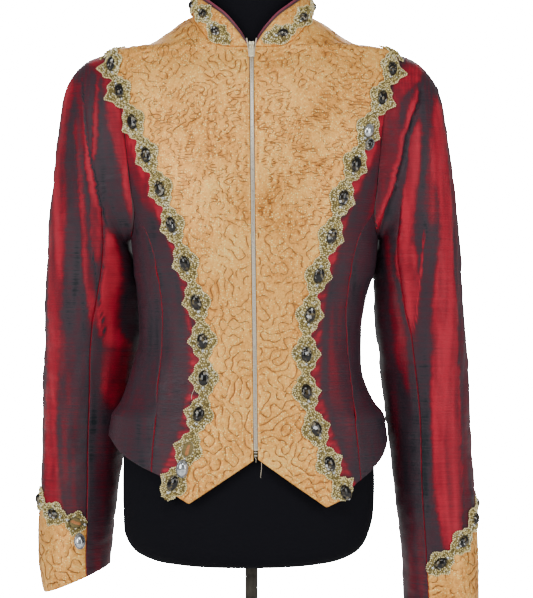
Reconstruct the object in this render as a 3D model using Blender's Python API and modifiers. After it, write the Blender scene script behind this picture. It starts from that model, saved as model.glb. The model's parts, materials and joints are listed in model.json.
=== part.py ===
# A women's western show jacket of shot silk and quilted gold cloth, worn on a black dress form.
# Metres, +Z up. The front faces -Y and the wearer's left is +X. The origin is the centre of the
# stand's underside.
import math

import bmesh
import bpy
import numpy as np
from mathutils import Matrix, Vector
from mathutils.bvhtree import BVHTree

# Driving dimensions
CLOTH = 0.002  # thickness of a cloth wall
SEAM_GAP = 0.0003  # between two pieces at a seam
SECTION_POWER = 2.25  # 2 would make the torso's sections plain ellipses
ZIP_HALF = 0.0027  # from the zip's middle to the gold cloth
ZIP_TOP, ZIP_FOOT = 0.9300, 0.4470
ZIP_LINE = ((0.4407, 0.0060), (0.9360, 0.0006))  # the zip leans a little: z, x
SHOULDER_Z = 0.9310  # shoulder point of the armhole
NECK_Z = 0.9765  # where neckline and shoulder seam meet
GOLD_TOP_Z = 0.9347  # where the gold cloth's outer edge meets the shoulder seam
BUST_Z = 0.7200  # rows of the front panels are level with the underarm here
TRIM_LIFT = (0.0009, 0.0031)  # of a front trim off the cloth at its foot and over the sleeve head
SMALL_TRIM_LIFT = (0.0017, 0.0017)
LIFT_POWER = 5  # the lift grows only near the shoulder
TRIM_THICK = 0.0022
STONE_RAISE = 0.0040
TRIM_COLUMNS = (-1.0, -0.45, 0.0, 0.45, 1.0)  # places across a trim, in half-widths
SMOOTHING = 0.0070  # reach over which a trim's lie on the cloth is smoothed
PRINCESS_STEPS = 10  # rows of the panels below the armhole
SHOULDER_STEPS = 4  # of the shoulder seam over the gold cloth
GOLD_POINT_STEPS = 2  # of the gold hem past its point
FRONT_SIDE_STEPS = 3  # across the red part of a front
COLLAR_BOW, COLLAR_BOW_HEIGHT = 0.0020, 0.0300  # the collar's bow, full where it is this high
COLLAR_AXIS_Y = -0.0100
COLLAR_TRIM_AT = 0.46  # share of the collar's height
PIPING_RADIUS, PIPING_LIFT = 0.0015, 0.0006
CUFF_EASE = 5  # rings over which the sleeve's rows follow the cuff's slanting edge
BASE_RADIUS, BASE_HEIGHT = 0.150, 0.012
POLE_RADIUS = 0.0080
FORM_FOOT = 0.300
FORM_SIDES = 24
ARM_PLATE_X = 0.1575  # the form is cut off flat at its armholes
FORM_LEVELS = (
    FORM_FOOT, 0.3045, 0.317, 0.335, 0.36, 0.40, 0.44, 0.48, 0.52, 0.571, 0.61, 0.65, 0.70, 0.75, 0.80, 0.84,
    0.88, 0.905, 0.920, 0.9315, 0.9355, 0.9485, 0.9655, 0.974, 0.990, 1.02, 1.050, 1.0575, 1.060,
)

# Zip: width of the chain, then width, length and thickness of the hard pieces
ZIP_CHAIN_WIDTH = 0.0044
ZIP_STOP_SIZE = (0.0042, 0.0080, 0.0018)
SLIDER_Z, SLIDER_LIFT = 0.9325, 0.0010
SLIDER_SIZE = (0.0065, 0.0090, 0.0025)
AXLE_LIFT = 0.0055  # of the pull's hinge off the cloth
CROWN_RADIUS, CROWN_WIDTH, EYE_RADIUS = 0.0023, 0.0020, 0.0012
SLIDER_ROUNDING = 0.0006
PULL_SIZE = (0.0060, 0.0190, 0.0012)
PULL_WINDOW = (0.0034, 0.0052)
PULL_BAR = 0.0012  # the pull's hinge bar is as wide as the pull is thick
PULL_LEAN = 8.0  # degrees that the pull leans in to the cloth

# Torso of the jacket: height z against a size of its level section
JACKET = {
    "half_width": (
        (0.36, 0.170), (0.38, 0.172), (0.40, 0.173), (0.44, 0.1745), (0.481, 0.171), (0.50, 0.158),
        (0.525, 0.1485), (0.55, 0.142), (0.571, 0.139), (0.59, 0.139), (0.616, 0.141), (0.645, 0.146),
        (0.658, 0.150), (0.6825, 0.1525), (0.705, 0.1545), (0.75, 0.165), (0.80, 0.178), (0.85, 0.185),
        (0.90, 0.187), (0.915, 0.187), (0.925, 0.186), (0.931, 0.183), (0.9345, 0.175), (0.937, 0.161),
        (0.941, 0.133), (0.954, 0.110), (0.972, 0.084), (0.977, 0.073), (0.985, 0.066),
    ),
    "sway": (
        (0.36, -0.004), (0.44, -0.004), (0.48, -0.005), (0.525, -0.006), (0.571, -0.0025),
        (0.62, 0.0), (0.70, 0.004), (0.80, 0.003), (0.90, 0.002), (0.985, 0.0),
    ),
    "front": (
        (0.36, 0.126), (0.42, 0.122), (0.48, 0.114), (0.53, 0.106), (0.571, 0.102), (0.61, 0.106),
        (0.66, 0.118), (0.71, 0.128), (0.75, 0.128), (0.80, 0.120), (0.86, 0.103), (0.90, 0.088),
        (0.93, 0.072), (0.95, 0.066), (0.977, 0.052), (0.985, 0.050),
    ),
    "back": (
        (0.40, 0.126), (0.44, 0.118), (0.48, 0.105), (0.53, 0.085), (0.571, 0.074), (0.60, 0.075),
        (0.65, 0.083), (0.71, 0.094), (0.78, 0.102), (0.84, 0.103), (0.90, 0.092), (0.95, 0.070),
        (0.985, 0.045),
    ),
}

# The dress form inside it, with the same columns
FORM = {
    "half_width": (
        (0.300, 0.098), (0.3045, 0.120), (0.317, 0.142), (0.335, 0.152), (0.36, 0.158), (0.40, 0.1595),
        (0.44, 0.157), (0.48, 0.150), (0.52, 0.138), (0.571, 0.1235), (0.61, 0.126), (0.65, 0.136),
        (0.70, 0.1465), (0.75, 0.156), (0.80, 0.160), (0.86, 0.162), (0.915, 0.162), (0.926, 0.161),
        (0.9315, 0.157), (0.9355, 0.133), (0.9485, 0.1075), (0.9655, 0.080), (0.974, 0.0635),
        (0.985, 0.0575), (1.02, 0.0560), (1.050, 0.0555), (1.0575, 0.0535), (1.060, 0.049),
    ),
    "sway": (
        (0.300, -0.006), (0.44, -0.006), (0.48, -0.005), (0.525, -0.005), (0.571, -0.002),
        (0.62, 0.0), (0.70, 0.004), (0.80, 0.003), (0.90, 0.002), (0.985, 0.001), (1.06, 0.001),
    ),
    "front": (
        (0.300, 0.070), (0.3045, 0.088), (0.317, 0.100), (0.335, 0.106), (0.36, 0.110), (0.42, 0.111),
        (0.48, 0.105), (0.53, 0.097), (0.571, 0.093), (0.61, 0.098), (0.66, 0.1125), (0.71, 0.1235),
        (0.75, 0.1245), (0.80, 0.1165), (0.86, 0.0995), (0.90, 0.0840), (0.93, 0.0655), (0.95, 0.0545),
        (0.974, 0.0460), (1.00, 0.0445), (1.050, 0.0440), (1.06, 0.039),
    ),
    "back": (
        (0.300, 0.070), (0.3045, 0.088), (0.317, 0.100), (0.335, 0.109), (0.36, 0.115), (0.40, 0.115),
        (0.44, 0.107), (0.48, 0.095), (0.53, 0.075), (0.571, 0.066), (0.60, 0.067), (0.65, 0.076),
        (0.71, 0.088), (0.78, 0.0970), (0.84, 0.0970), (0.90, 0.0850), (0.95, 0.0600), (0.974, 0.0420),
        (1.00, 0.0405), (1.050, 0.0400), (1.06, 0.036),
    ),
}

# Half-width of the gold front from the zip to the middle of its jewelled trim, against height
GOLD_HALF = (
    (0.388, 0.1095), (0.396, 0.1050), (0.4075, 0.0975), (0.4299, 0.0869), (0.4475, 0.0798),
    (0.481, 0.0688), (0.5235, 0.0603), (0.5676, 0.0610), (0.6155, 0.0669), (0.662, 0.0785),
    (0.708, 0.0940), (0.7525, 0.1078), (0.7926, 0.1240), (0.8343, 0.1411), (0.8745, 0.1583),
    (0.9115, 0.1710), (GOLD_TOP_Z, 0.1735),
)
# Half-width from the zip to the princess seam, against height
PRINCESS_HALF = (
    (0.410, 0.1262), (0.4507, 0.1231), (0.4841, 0.1197), (0.5217, 0.1179), (0.5508, 0.1141),
    (0.5825, 0.1122), (0.6129, 0.1112), (0.6347, 0.1134), (0.6552, 0.1166), (0.6744, 0.1194),
    (0.6924, 0.1236),
)
# Armhole, from the underarm up the front and from the shoulder down the back: angle, z
ARMHOLE_FRONT = (
    (90, 0.7000), (81, 0.7025), (73, 0.7095), (66.5, 0.7195), (63.5, 0.7330), (62.2, 0.7525),
    (58.5, 0.7885), (57.2, 0.8250), (58.5, 0.8600), (64.7, 0.8950), (74, 0.9190), (90, SHOULDER_Z),
)
ARMHOLE_BACK = (
    (90, SHOULDER_Z), (104, 0.9200), (113, 0.8950), (118.5, 0.8600), (119.5, 0.8200), (118, 0.7800),
    (113, 0.7450), (106, 0.7200), (98, 0.7050), (90, 0.7000),
)
# Where the panels and the sleeve share points, from the underarm at 0 to the shoulder at 180
LOOP = (0, 22.5, 45, 60, 75, 95, 116.25, 137.5, 158.75, 169.375, 180)
SEAM_STEP = 2  # the princess and side-back seams meet the armhole at this place of LOOP
# Side-back seam below the armhole: z, angle
BACK_SEAM = ((0.442, 122), (0.48, 124), (0.53, 130), (0.571, 134), (0.62, 132), (0.67, 125))
# Neckline in front of the shoulder seam, and behind it: x from the middle, z
NECK_FRONT = (
    (ZIP_HALF, 0.9320), (0.0150, 0.9320), (0.0280, 0.9325), (0.0390, 0.9345), (0.0480, 0.9390),
    (0.0600, 0.9510), (0.0675, 0.9630), (0.0718, 0.9720), (0.0742, NECK_Z),
)
NECK_BACK = (
    (0.0, 0.9850), (0.0250, 0.9846), (0.0450, 0.9838), (0.0600, 0.9820), (0.0690, 0.9795), (0.0742, NECK_Z),
)
NECK_STEPS = {"front": 6, "back": 4}  # points that panels and collar share
# Top edge of the stand collar from the zip to centre back: x, y, z
COLLAR_TOP = (
    (0.0050, -0.0680, 0.9362), (0.0215, -0.0645, 0.9585), (0.0370, -0.0585, 0.9750),
    (0.0520, -0.0470, 0.9870), (0.0630, -0.0320, 0.9970), (0.0695, -0.0160, 1.0040),
    (0.0715, 0.0020, 1.0100), (0.0680, 0.0210, 1.0160), (0.0560, 0.0370, 1.0205),
    (0.0300, 0.0475, 1.0240), (0.0003, 0.0500, 1.0250),
)
COLLAR_ROWS = 4
COLLAR_GAP = 0.0004  # over the neckline, whose corner it stands on
# Heights of the stones of the front trims, from the hem up
STONES = {
    1: (
        0.3956, 0.4299, 0.4715, 0.5152, 0.5596, 0.6077, 0.6545, 0.7011, 0.7470, 0.7872, 0.8288, 0.8707,
        0.9080,
    ),
    -1: (
        0.4075, 0.4475, 0.4891, 0.5315, 0.5760, 0.6228, 0.6691, 0.7150, 0.7575, 0.7984, 0.8396, 0.8793,
        0.9146,
    ),
}
# One motif of the trim: place along it, half-width, height of the raised middle
FRONT_MOTIF = ((0.0, 0.0050, 0.0), (0.3, 0.0120, 0.6), (0.5, 0.0180, 1.0), (0.7, 0.0120, 0.6))
SMALL_MOTIF = ((0.0, 0.0040, 0.0), (0.3, 0.0085, 0.6), (0.5, 0.0120, 1.0), (0.7, 0.0085, 0.6))
COLLAR_MOTIFS = 11
CUFF_MOTIFS = 6

# Hems below the natural waist, from the zip outward: x from the zip, z
GOLD_HEM = {
    1: ((ZIP_HALF, 0.4365), (0.0840, 0.3784), (0.1090, 0.3885)),
    -1: ((ZIP_HALF, 0.4350), (0.0802, 0.3834), (0.1050, 0.3975)),
}
SIDE_HEM = {
    1: ((0.1090, 0.3885), (0.1205, 0.4050), (0.1260, 0.4085)),
    -1: ((0.1050, 0.3975), (0.1170, 0.4160), (0.1262, 0.4195)),
}
# The same hem round the side, from the princess seam to the side-back seam: share of the way, z
ROUND_HEM = {
    1: ((0, 0.4085), (0.14, 0.4148), (0.30, 0.4360), (0.52, 0.4500), (0.75, 0.4480), (1, 0.4420)),
    -1: ((0, 0.4195), (0.14, 0.4290), (0.30, 0.4420), (0.52, 0.4560), (0.75, 0.4500), (1, 0.4420)),
}
BACK_HEM = 0.4420

# Sleeves, a row for each ring from the armhole to the hem:
# inner x, inner z, outer x, outer z, centre y, half depth
SLEEVE = {
    1: (
        (0.1580, 0.7000, 0.1800, 0.9335, -0.005, 0.0600), (0.1590, 0.6988, 0.1960, 0.9275, -0.004, 0.0625),
        (0.1595, 0.6965, 0.2100, 0.9180, -0.002, 0.0645), (0.1590, 0.6935, 0.2215, 0.9055, 0.000, 0.0655),
        (0.1585, 0.6900, 0.2325, 0.8880, 0.002, 0.0655), (0.1575, 0.6850, 0.2400, 0.8600, 0.004, 0.0650),
        (0.1565, 0.6790, 0.2460, 0.8230, 0.006, 0.0640), (0.1555, 0.6700, 0.2520, 0.7790, 0.009, 0.0625),
        (0.1545, 0.6560, 0.2590, 0.7200, 0.013, 0.0610), (0.1540, 0.6320, 0.2640, 0.6600, 0.017, 0.0590),
        (0.1560, 0.5900, 0.2690, 0.6000, 0.022, 0.0570), (0.1605, 0.5450, 0.2735, 0.5480, 0.028, 0.0555),
        (0.1680, 0.4900, 0.2770, 0.4900, 0.034, 0.0530), (0.1750, 0.4350, 0.2800, 0.4330, 0.036, 0.0510),
        (0.1810, 0.3800, 0.2825, 0.3770, 0.033, 0.0490), (0.1865, 0.3350, 0.2850, 0.3310, 0.028, 0.0475),
        (0.1900, 0.2950, 0.2860, 0.2890, 0.024, 0.0460), (0.1915, 0.2680, 0.2860, 0.2620, 0.021, 0.0455),
        (0.1920, 0.2450, 0.2860, 0.2380, 0.019, 0.0450),
    ),
    -1: (
        (0.1550, 0.7000, 0.1760, 0.9335, -0.005, 0.0600), (0.1555, 0.6988, 0.1930, 0.9285, -0.003, 0.0625),
        (0.1555, 0.6965, 0.2080, 0.9200, 0.000, 0.0645), (0.1550, 0.6935, 0.2205, 0.9080, 0.003, 0.0655),
        (0.1540, 0.6900, 0.2305, 0.8890, 0.006, 0.0655), (0.1525, 0.6850, 0.2385, 0.8600, 0.010, 0.0650),
        (0.1505, 0.6790, 0.2450, 0.8220, 0.015, 0.0640), (0.1475, 0.6700, 0.2510, 0.7780, 0.021, 0.0625),
        (0.1430, 0.6560, 0.2560, 0.7200, 0.029, 0.0610), (0.1410, 0.6320, 0.2600, 0.6600, 0.037, 0.0590),
        (0.1410, 0.5900, 0.2645, 0.6020, 0.047, 0.0570), (0.1440, 0.5500, 0.2675, 0.5500, 0.057, 0.0550),
        (0.1520, 0.5000, 0.2700, 0.4960, 0.068, 0.0515), (0.1620, 0.4500, 0.2710, 0.4420, 0.072, 0.0490),
        (0.1690, 0.4000, 0.2720, 0.3880, 0.067, 0.0475), (0.1745, 0.3480, 0.2735, 0.3320, 0.059, 0.0465),
        (0.1780, 0.3170, 0.2725, 0.2950, 0.053, 0.0455), (0.1795, 0.3010, 0.2690, 0.2730, 0.050, 0.0445),
        (0.1805, 0.2880, 0.2650, 0.2530, 0.048, 0.0430),
    ),
}
LOOP_DECAY = (1.0, 0.72, 0.45, 0.22, 0.07)  # how far the first rings keep the armhole's own outline
CUFF_ROW = {1: 16, -1: 15}  # ring where the cuff's edge meets the sleeve seams
CUFF_RISE = {1: 1.9, -1: 0.85}  # rings that the edge rises by on the outer side
SEAM_ANGLE = 75  # the two sleeve seams, from the inner side
GATHER_ANGLE = 95  # where the gathers of the sleeve head begin
GATHERS = 16
GATHER_DEPTH = (0.0, 0.0016, 0.0023, 0.0021, 0.0016, 0.0010, 0.0005, 0.0)  # by ring
# Large folds of the sleeves: side, angle, ring, half-width in degrees, half-length in rings, depth
SLEEVE_FOLDS = (
    (-1, 60, 10.0, 40, 0.8, 0.0050), (-1, 95, 8.0, 30, 0.9, 0.0030), (-1, 200, 11.0, 45, 0.8, 0.0035),
    (1, 75, 9.0, 32, 1.0, 0.0050), (1, 120, 10.6, 40, 0.8, 0.0030), (1, 40, 11.6, 35, 0.8, 0.0035),
)

# Finishes: base colour, roughness, metallic
FINISH = {
    "red_silk": ((0.30, 0.012, 0.022), 0.42, 0.0),
    "gold_cloth": ((0.72, 0.40, 0.19), 0.48, 0.25),
    "wine_piping": ((0.13, 0.015, 0.04), 0.50, 0.0),
    "jewelled_trim": ((0.50, 0.42, 0.20), 0.40, 0.6),
    "zip_metal": ((0.62, 0.58, 0.48), 0.30, 0.9),
    "zip_enamel": ((0.80, 0.76, 0.60), 0.35, 0.2),
    "black_jersey": ((0.006, 0.006, 0.009), 0.85, 0.0),
    "chrome": ((0.75, 0.76, 0.78), 0.08, 1.0),
    "base_steel": ((0.55, 0.56, 0.58), 0.25, 1.0),
}


# Curves through tables
def through(table, at, column=1):
    # A smooth curve through one column of a table, which never swings past its rows
    knots = np.array([row[0] for row in table], float)
    values = np.array([row[column] for row in table], float)
    step = np.diff(knots)
    rise = np.diff(values) / step
    slope = np.concatenate([rise[:1], np.zeros(len(rise) - 1), rise[-1:]])
    same = rise[1:] * rise[:-1] > 0
    near, far = 2 * step[1:] + step[:-1], step[1:] + 2 * step[:-1]
    safe = [np.where(same, part, 1.0) for part in (rise[:-1], rise[1:])]
    slope[1:-1] = np.where(same, (near + far) / (near / safe[0] + far / safe[1]), 0.0)
    at = np.clip(np.asarray(at, float), knots[0], knots[-1])
    i = np.clip(np.searchsorted(knots, at, side="right") - 1, 0, len(step) - 1)
    u = (at - knots[i]) / step[i]
    ends = (1 + 2 * u) * (1 - u) ** 2 * values[i] + u * u * (3 - 2 * u) * values[i + 1]
    return ends + u * (1 - u) * step[i] * ((1 - u) * slope[i] - u * slope[i + 1])


def spread(points, count):
    # The same line with so many points, evenly far apart
    points = np.asarray(points, float)
    walked = np.concatenate([[0.0], np.cumsum(np.linalg.norm(np.diff(points, axis=0), axis=1))])
    places = np.linspace(0.0, walked[-1], count)
    return np.stack([np.interp(places, walked, points[:, k]) for k in range(points.shape[1])], -1)


def curve(rows, count, pick=(0, 1)):
    # A smooth line with so many points through the rows of a table
    rows = [(k, *row) for k, row in enumerate(rows)]
    fine = np.linspace(0, len(rows) - 1, 12 * len(rows))
    return spread(np.stack([through(rows, fine, 1 + column) for column in pick], -1), count)


# The torso's surface
def skin(body, angle, z):
    # Angle 0 is centre front, 90 degrees the wearer's left side and 180 centre back
    turn, z = np.radians(angle), np.asarray(z, float)
    sine, cosine = np.sin(turn), np.cos(turn)
    power = 2.0 / SECTION_POWER
    depth = np.where(cosine >= 0, through(body["front"], z), through(body["back"], z))
    x = through(body["half_width"], z) * np.sign(sine) * np.abs(sine) ** power + through(body["sway"], z)
    y = -depth * np.sign(cosine) * np.abs(cosine) ** power
    return np.stack(np.broadcast_arrays(x, y, z), -1)


def angle_at(body, x, z, face=1):
    # The angle of the point at x and z on the front, or on the back where face is -1
    reach = (np.asarray(x, float) - through(body["sway"], z)) / through(body["half_width"], z)
    turn = np.arcsin(np.clip(np.abs(reach), 0, 1) ** (SECTION_POWER / 2)) * np.sign(reach)
    degrees = np.degrees(turn)
    return np.where(np.asarray(face) > 0, degrees, np.where(degrees < 0, -180 - degrees, 180 - degrees))


def skin_normal(body, angle, z):
    small_turn, small_rise = 0.4, 0.0004
    across = skin(body, angle + small_turn, z) - skin(body, angle - small_turn, z)
    along = skin(body, angle, z + small_rise) - skin(body, angle, z - small_rise)
    return unit(np.cross(across, along))


def unit(vectors):
    return vectors / np.maximum(np.linalg.norm(vectors, axis=-1, keepdims=True), 1e-12)


def zip_x(z):
    (low, low_x), (high, high_x) = ZIP_LINE
    return low_x + (high_x - low_x) * (np.asarray(z, float) - low) / (high - low)


def patch(left, right, foot, top):
    # The surface between four lines that share their corners, as points by row and column
    up = np.linspace(0, 1, len(left))[:, None, None]
    over = np.linspace(0, 1, len(foot))[None, :, None]
    left, right, foot, top = (np.asarray(line, float) for line in (left, right, foot, top))
    sides = (1 - over) * left[:, None] + over * right[:, None] + (1 - up) * foot[None] + up * top[None]
    low = (1 - over) * foot[0] + over * foot[-1]
    high = (1 - over) * top[0] + over * top[-1]
    return sides - (1 - up) * low - up * high


# Meshes and objects
PARTS = bpy.data.collections.new("western_jacket_on_dress_form")
CUTTERS = bpy.data.collections.new("cutters")
cloth_points, cloth_faces = [], []


def material(finish):
    if finish in bpy.data.materials:
        return bpy.data.materials[finish]
    colour, roughness, metallic = FINISH[finish]
    made = bpy.data.materials.new(finish)
    made.use_nodes = True
    shader = made.node_tree.nodes["Principled BSDF"]
    shader.inputs["Base Color"].default_value = (*colour, 1.0)
    shader.inputs["Roughness"].default_value = roughness
    shader.inputs["Metallic"].default_value = metallic
    return made


def add_object(name, mesh, finish, collection=PARTS):
    made = bpy.data.objects.new(name, mesh)
    made.data.materials.append(material(finish))
    collection.objects.link(made)
    return made


def add_mesh(name, points, faces, finish):
    mesh = bpy.data.meshes.new(name)
    mesh.from_pydata(np.asarray(points).tolist(), [], faces)
    shape = bmesh.new()
    shape.from_mesh(mesh)
    bmesh.ops.recalc_face_normals(shape, faces=shape.faces)
    shape.to_mesh(mesh)
    shape.free()
    mesh.shade_smooth()
    mesh.set_sharp_from_angle(angle=math.radians(40))
    return add_object(name, mesh, finish)


def stitched(low, high):
    # Faces between two rows of (place, point number), which may have unlike numbers of points
    faces, i, j = [], 0, 0
    while i < len(low) - 1 or j < len(high) - 1:
        next_low = low[i + 1][0] if i < len(low) - 1 else math.inf
        next_high = high[j + 1][0] if j < len(high) - 1 else math.inf
        if abs(next_low - next_high) < 1e-6:
            faces.append((low[i][1], low[i + 1][1], high[j + 1][1], high[j][1]))
            i, j = i + 1, j + 1
        elif next_low < next_high:
            faces.append((low[i][1], low[i + 1][1], high[j][1]))
            i += 1
        else:
            faces.append((low[i][1], high[j + 1][1], high[j][1]))
            j += 1
    return faces


def add_wall(name, outer, inner, finish, places=None, lies_on=True):
    # A closed wall from rows of outer points and rows of inner points
    if places is None:
        places = [range(len(row)) for row in outer]
    starts = np.cumsum([0] + [len(row) for row in outer])
    rows = [[(place, start + k) for k, place in enumerate(row)] for row, start in zip(places, starts)]
    points = np.concatenate([*outer, *inner])
    depth = int(starts[-1])
    skins = []
    for low, high in zip(rows, rows[1:]):
        for face in stitched(low, high):
            skins += split(points, face)
    first, below = points[list(skins[0])], points[skins[0][0] + depth]
    facing = np.cross(first[1] - first[0], first[2] - first[0])
    if np.dot(facing, first[0] - below) < 0:
        skins = [face[::-1] for face in skins]
    if lies_on:
        cloth_faces.extend(tuple(len(cloth_points) + k for k in face) for face in skins)
        cloth_points.extend(points[:depth])
    faces = skins + [tuple(k + depth for k in face[::-1]) for face in skins]
    rims = [[k for _, k in rows[end]] for end in (0, -1)] + [[row[end][1] for row in rows] for end in (0, -1)]
    for rim in rims:
        faces += [(a, b, b + depth, a + depth) for a, b in zip(rim, rim[1:])]
    return add_mesh(name, points, faces, finish)


def split(points, face):
    # A face of four points as two triangles, along its shorter diagonal
    if len(face) == 3:
        return [face]
    a, b, c, d = face
    if np.linalg.norm(points[a] - points[c]) <= np.linalg.norm(points[b] - points[d]):
        return [(a, b, c), (a, c, d)]
    return [(a, b, d), (b, c, d)]


def pulled_in(grid, by=SEAM_GAP / 2):
    # The same grid with its edges drawn in by half a seam's gap
    grid = np.array(grid)
    for edge, beside in ((0, 1), (-1, -2)):
        grid[edge] += unit(grid[beside] - grid[edge]) * by
        grid[:, edge] += unit(grid[:, beside] - grid[:, edge]) * by
    return grid


def add_panel(name, angles_and_heights, finish):
    angle, z = angles_and_heights[..., 0], angles_and_heights[..., 1]
    outer = pulled_in(skin(JACKET, angle, z))
    inner = outer - CLOTH * skin_normal(JACKET, angle, z)
    return add_wall(name, outer, inner, finish)


# Lines that neighbouring panels share
def to_skin(side, line, face=1):
    # From distance off the zip and height to angle and height
    x = zip_x(line[..., 1]) + side * line[..., 0]
    return np.stack([angle_at(JACKET, x, line[..., 1], face), line[..., 1]], -1)


def from_skin(side, line):
    x = skin(JACKET, line[..., 0], line[..., 1])[..., 0]
    return np.stack([side * (x - zip_x(line[..., 1])), line[..., 1]], -1)


def armhole(side):
    # Front and back halves of the armhole from underarm to shoulder, as angle and height
    halves = []
    for table in (ARMHOLE_FRONT, ARMHOLE_BACK[::-1]):
        fine = curve(table, 160)
        fine[:, 0] *= side
        steps = np.linalg.norm(np.diff(skin(JACKET, fine[:, 0], fine[:, 1]), axis=0), axis=1)
        walked = np.concatenate([[0.0], np.cumsum(steps)]) / steps.sum() * 180
        halves.append(np.stack([np.interp(LOOP, walked, fine[:, k]) for k in (0, 1)], -1))
    return halves


def rows_up(foot, top):
    # Heights of a panel's rows, close together where the shoulder turns over
    low = np.linspace(foot, BUST_Z, PRINCESS_STEPS + 1)
    high = np.sin(np.linspace(0, math.pi / 2, len(LOOP) - SEAM_STEP))
    return np.concatenate([low[:-1], BUST_Z + (top - BUST_Z) * high])


def straight(rows, steps):
    # A line through every row, with so many even steps in each stretch
    stretches = [np.linspace(a, b, n + 1)[:-1] for a, b, n in zip(rows, rows[1:], steps)]
    return np.concatenate([*stretches, [rows[-1]]])


def shoulder_seam(side, places):
    # From the neckline to the armhole, at these distances off the zip
    heights = np.linspace(SHOULDER_Z, NECK_Z, 200)
    edge = from_skin(side, np.stack([np.full(200, 90.0 * side), heights], -1))
    return np.stack([places, np.interp(places, edge[::-1, 0], edge[::-1, 1])], -1)


def shoulder_places(side):
    tip = from_skin(side, np.array([90.0 * side, SHOULDER_Z]))[0]
    neck = from_skin(side, np.array([90.0 * side, NECK_Z]))[0]
    gold = from_skin(side, np.array([90.0 * side, GOLD_TOP_Z]))[0]
    return np.append(np.linspace(neck, gold, SHOULDER_STEPS + 1), tip)


def neckline(side, part):
    # Distance off the zip and height, ending at the shoulder seam
    rows = NECK_FRONT if part == "front" else NECK_BACK
    line = curve(rows, NECK_STEPS[part] + 1)
    line[-1] = shoulder_seam(side, shoulder_places(side)[:1])[0]
    if part == "back":
        line[0] = from_skin(side, np.array([180.0 * side, rows[0][1]]))
    return line


def gold_edge(side):
    heights = rows_up(GOLD_HEM[side][-1][1], GOLD_TOP_Z)
    line = np.stack([through(GOLD_HALF, heights), heights], -1)
    line[0] = GOLD_HEM[side][-1]
    line[-1] = shoulder_seam(side, shoulder_places(side)[-2:-1])[0]
    return line


def princess_seam(side):
    # From the hem up to the armhole, as distance off the zip and height
    top = from_skin(side, armhole(side)[0][SEAM_STEP])
    table = (*PRINCESS_HALF, (top[1], top[0]))
    heights = np.linspace(SIDE_HEM[side][-1][1], top[1], PRINCESS_STEPS + 1)
    return np.stack([through(table, heights), heights], -1)


def side_back_seam(side):
    top = armhole(side)[1][SEAM_STEP]
    table = (*BACK_SEAM, (top[1], abs(top[0])))
    heights = np.linspace(BACK_HEM, top[1], PRINCESS_STEPS + 1)
    return np.stack([side * through(table, heights), heights], -1)


# Panels of the body
def add_fronts(side, name):
    edge = gold_edge(side)
    shoulder = shoulder_seam(side, shoulder_places(side))
    neck = neckline(side, "front")
    top = np.concatenate([neck, shoulder[1:-1]])
    foot_steps = (len(top) - 1 - GOLD_POINT_STEPS, GOLD_POINT_STEPS)
    foot = straight(np.array(GOLD_HEM[side]), foot_steps)
    heights = rows_up(foot[0][1], top[0][1])
    zip_edge = np.stack([np.full(len(heights), ZIP_HALF), heights], -1)
    add_panel("front_centre_" + name, to_skin(side, patch(zip_edge, edge, foot, top)), "gold_cloth")
    outer = np.concatenate([
        princess_seam(side)[:-1], from_skin(side, armhole(side)[0][SEAM_STEP:]),
    ])
    foot = curve(SIDE_HEM[side], FRONT_SIDE_STEPS + 1)
    top = np.linspace(shoulder[-2], shoulder[-1], FRONT_SIDE_STEPS + 1)
    add_panel("front_side_" + name, to_skin(side, patch(edge, outer, foot, top)), "red_silk")


def add_side(side, name):
    front, back = armhole(side)
    seam = to_skin(side, princess_seam(side))
    behind = side_back_seam(side)
    top = np.concatenate([front[SEAM_STEP::-1], back[1 : SEAM_STEP + 1]])
    share = np.linspace(0, 1, len(top))
    foot = np.stack([
        seam[0, 0] + (behind[0, 0] - seam[0, 0]) * share, through(ROUND_HEM[side], share),
    ], -1)
    add_panel("side_" + name, patch(seam, behind, foot, top), "red_silk")


def add_back(side, name):
    outer = from_skin(side, np.concatenate([side_back_seam(side)[:-1], armhole(side)[1][SEAM_STEP:]]))
    shoulder = shoulder_seam(side, shoulder_places(side))
    top = np.concatenate([neckline(side, "back"), shoulder[1:]])
    heights = rows_up(BACK_HEM, top[0][1])
    middle = from_skin(side, np.stack([np.full(len(heights), 180.0 * side), heights], -1))
    foot = np.linspace(middle[0], outer[0], len(top))
    add_panel("back_" + name, to_skin(side, patch(middle, outer, foot, top), -1), "red_silk")


# Collar
def neck_loop():
    # The neckline's points all round, from the zip over the wearer's left to the zip again
    loop = []
    for side in (1, -1):
        front = to_skin(side, neckline(side, "front"))
        back = to_skin(side, neckline(side, "back"), -1)[::-1]
        half = np.concatenate([front, back[1:]])
        loop.append(skin(JACKET, half[:, 0], half[:, 1]))
    return np.concatenate([loop[0], loop[1][-2::-1]])


def collar_top():
    half = curve(COLLAR_TOP, 1 + NECK_STEPS["front"] + NECK_STEPS["back"], (0, 1, 2))
    return np.concatenate([half, half[-2::-1] * (-1, 1, 1)])


def collar_surface(share):
    # The collar's outer face at this share of its height, bowed out a little at mid height
    foot, top = neck_loop(), collar_top()
    outward = unit((foot + top) / 2 * (1, 1, 0) - np.array([0, COLLAR_AXIS_Y, 0]))
    high = np.minimum(1, np.linalg.norm(top - foot, axis=1) / COLLAR_BOW_HEIGHT)
    bow = COLLAR_BOW * 4 * share * (1 - share) * high
    return foot + (top - foot) * share + outward * bow[:, None]


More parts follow.
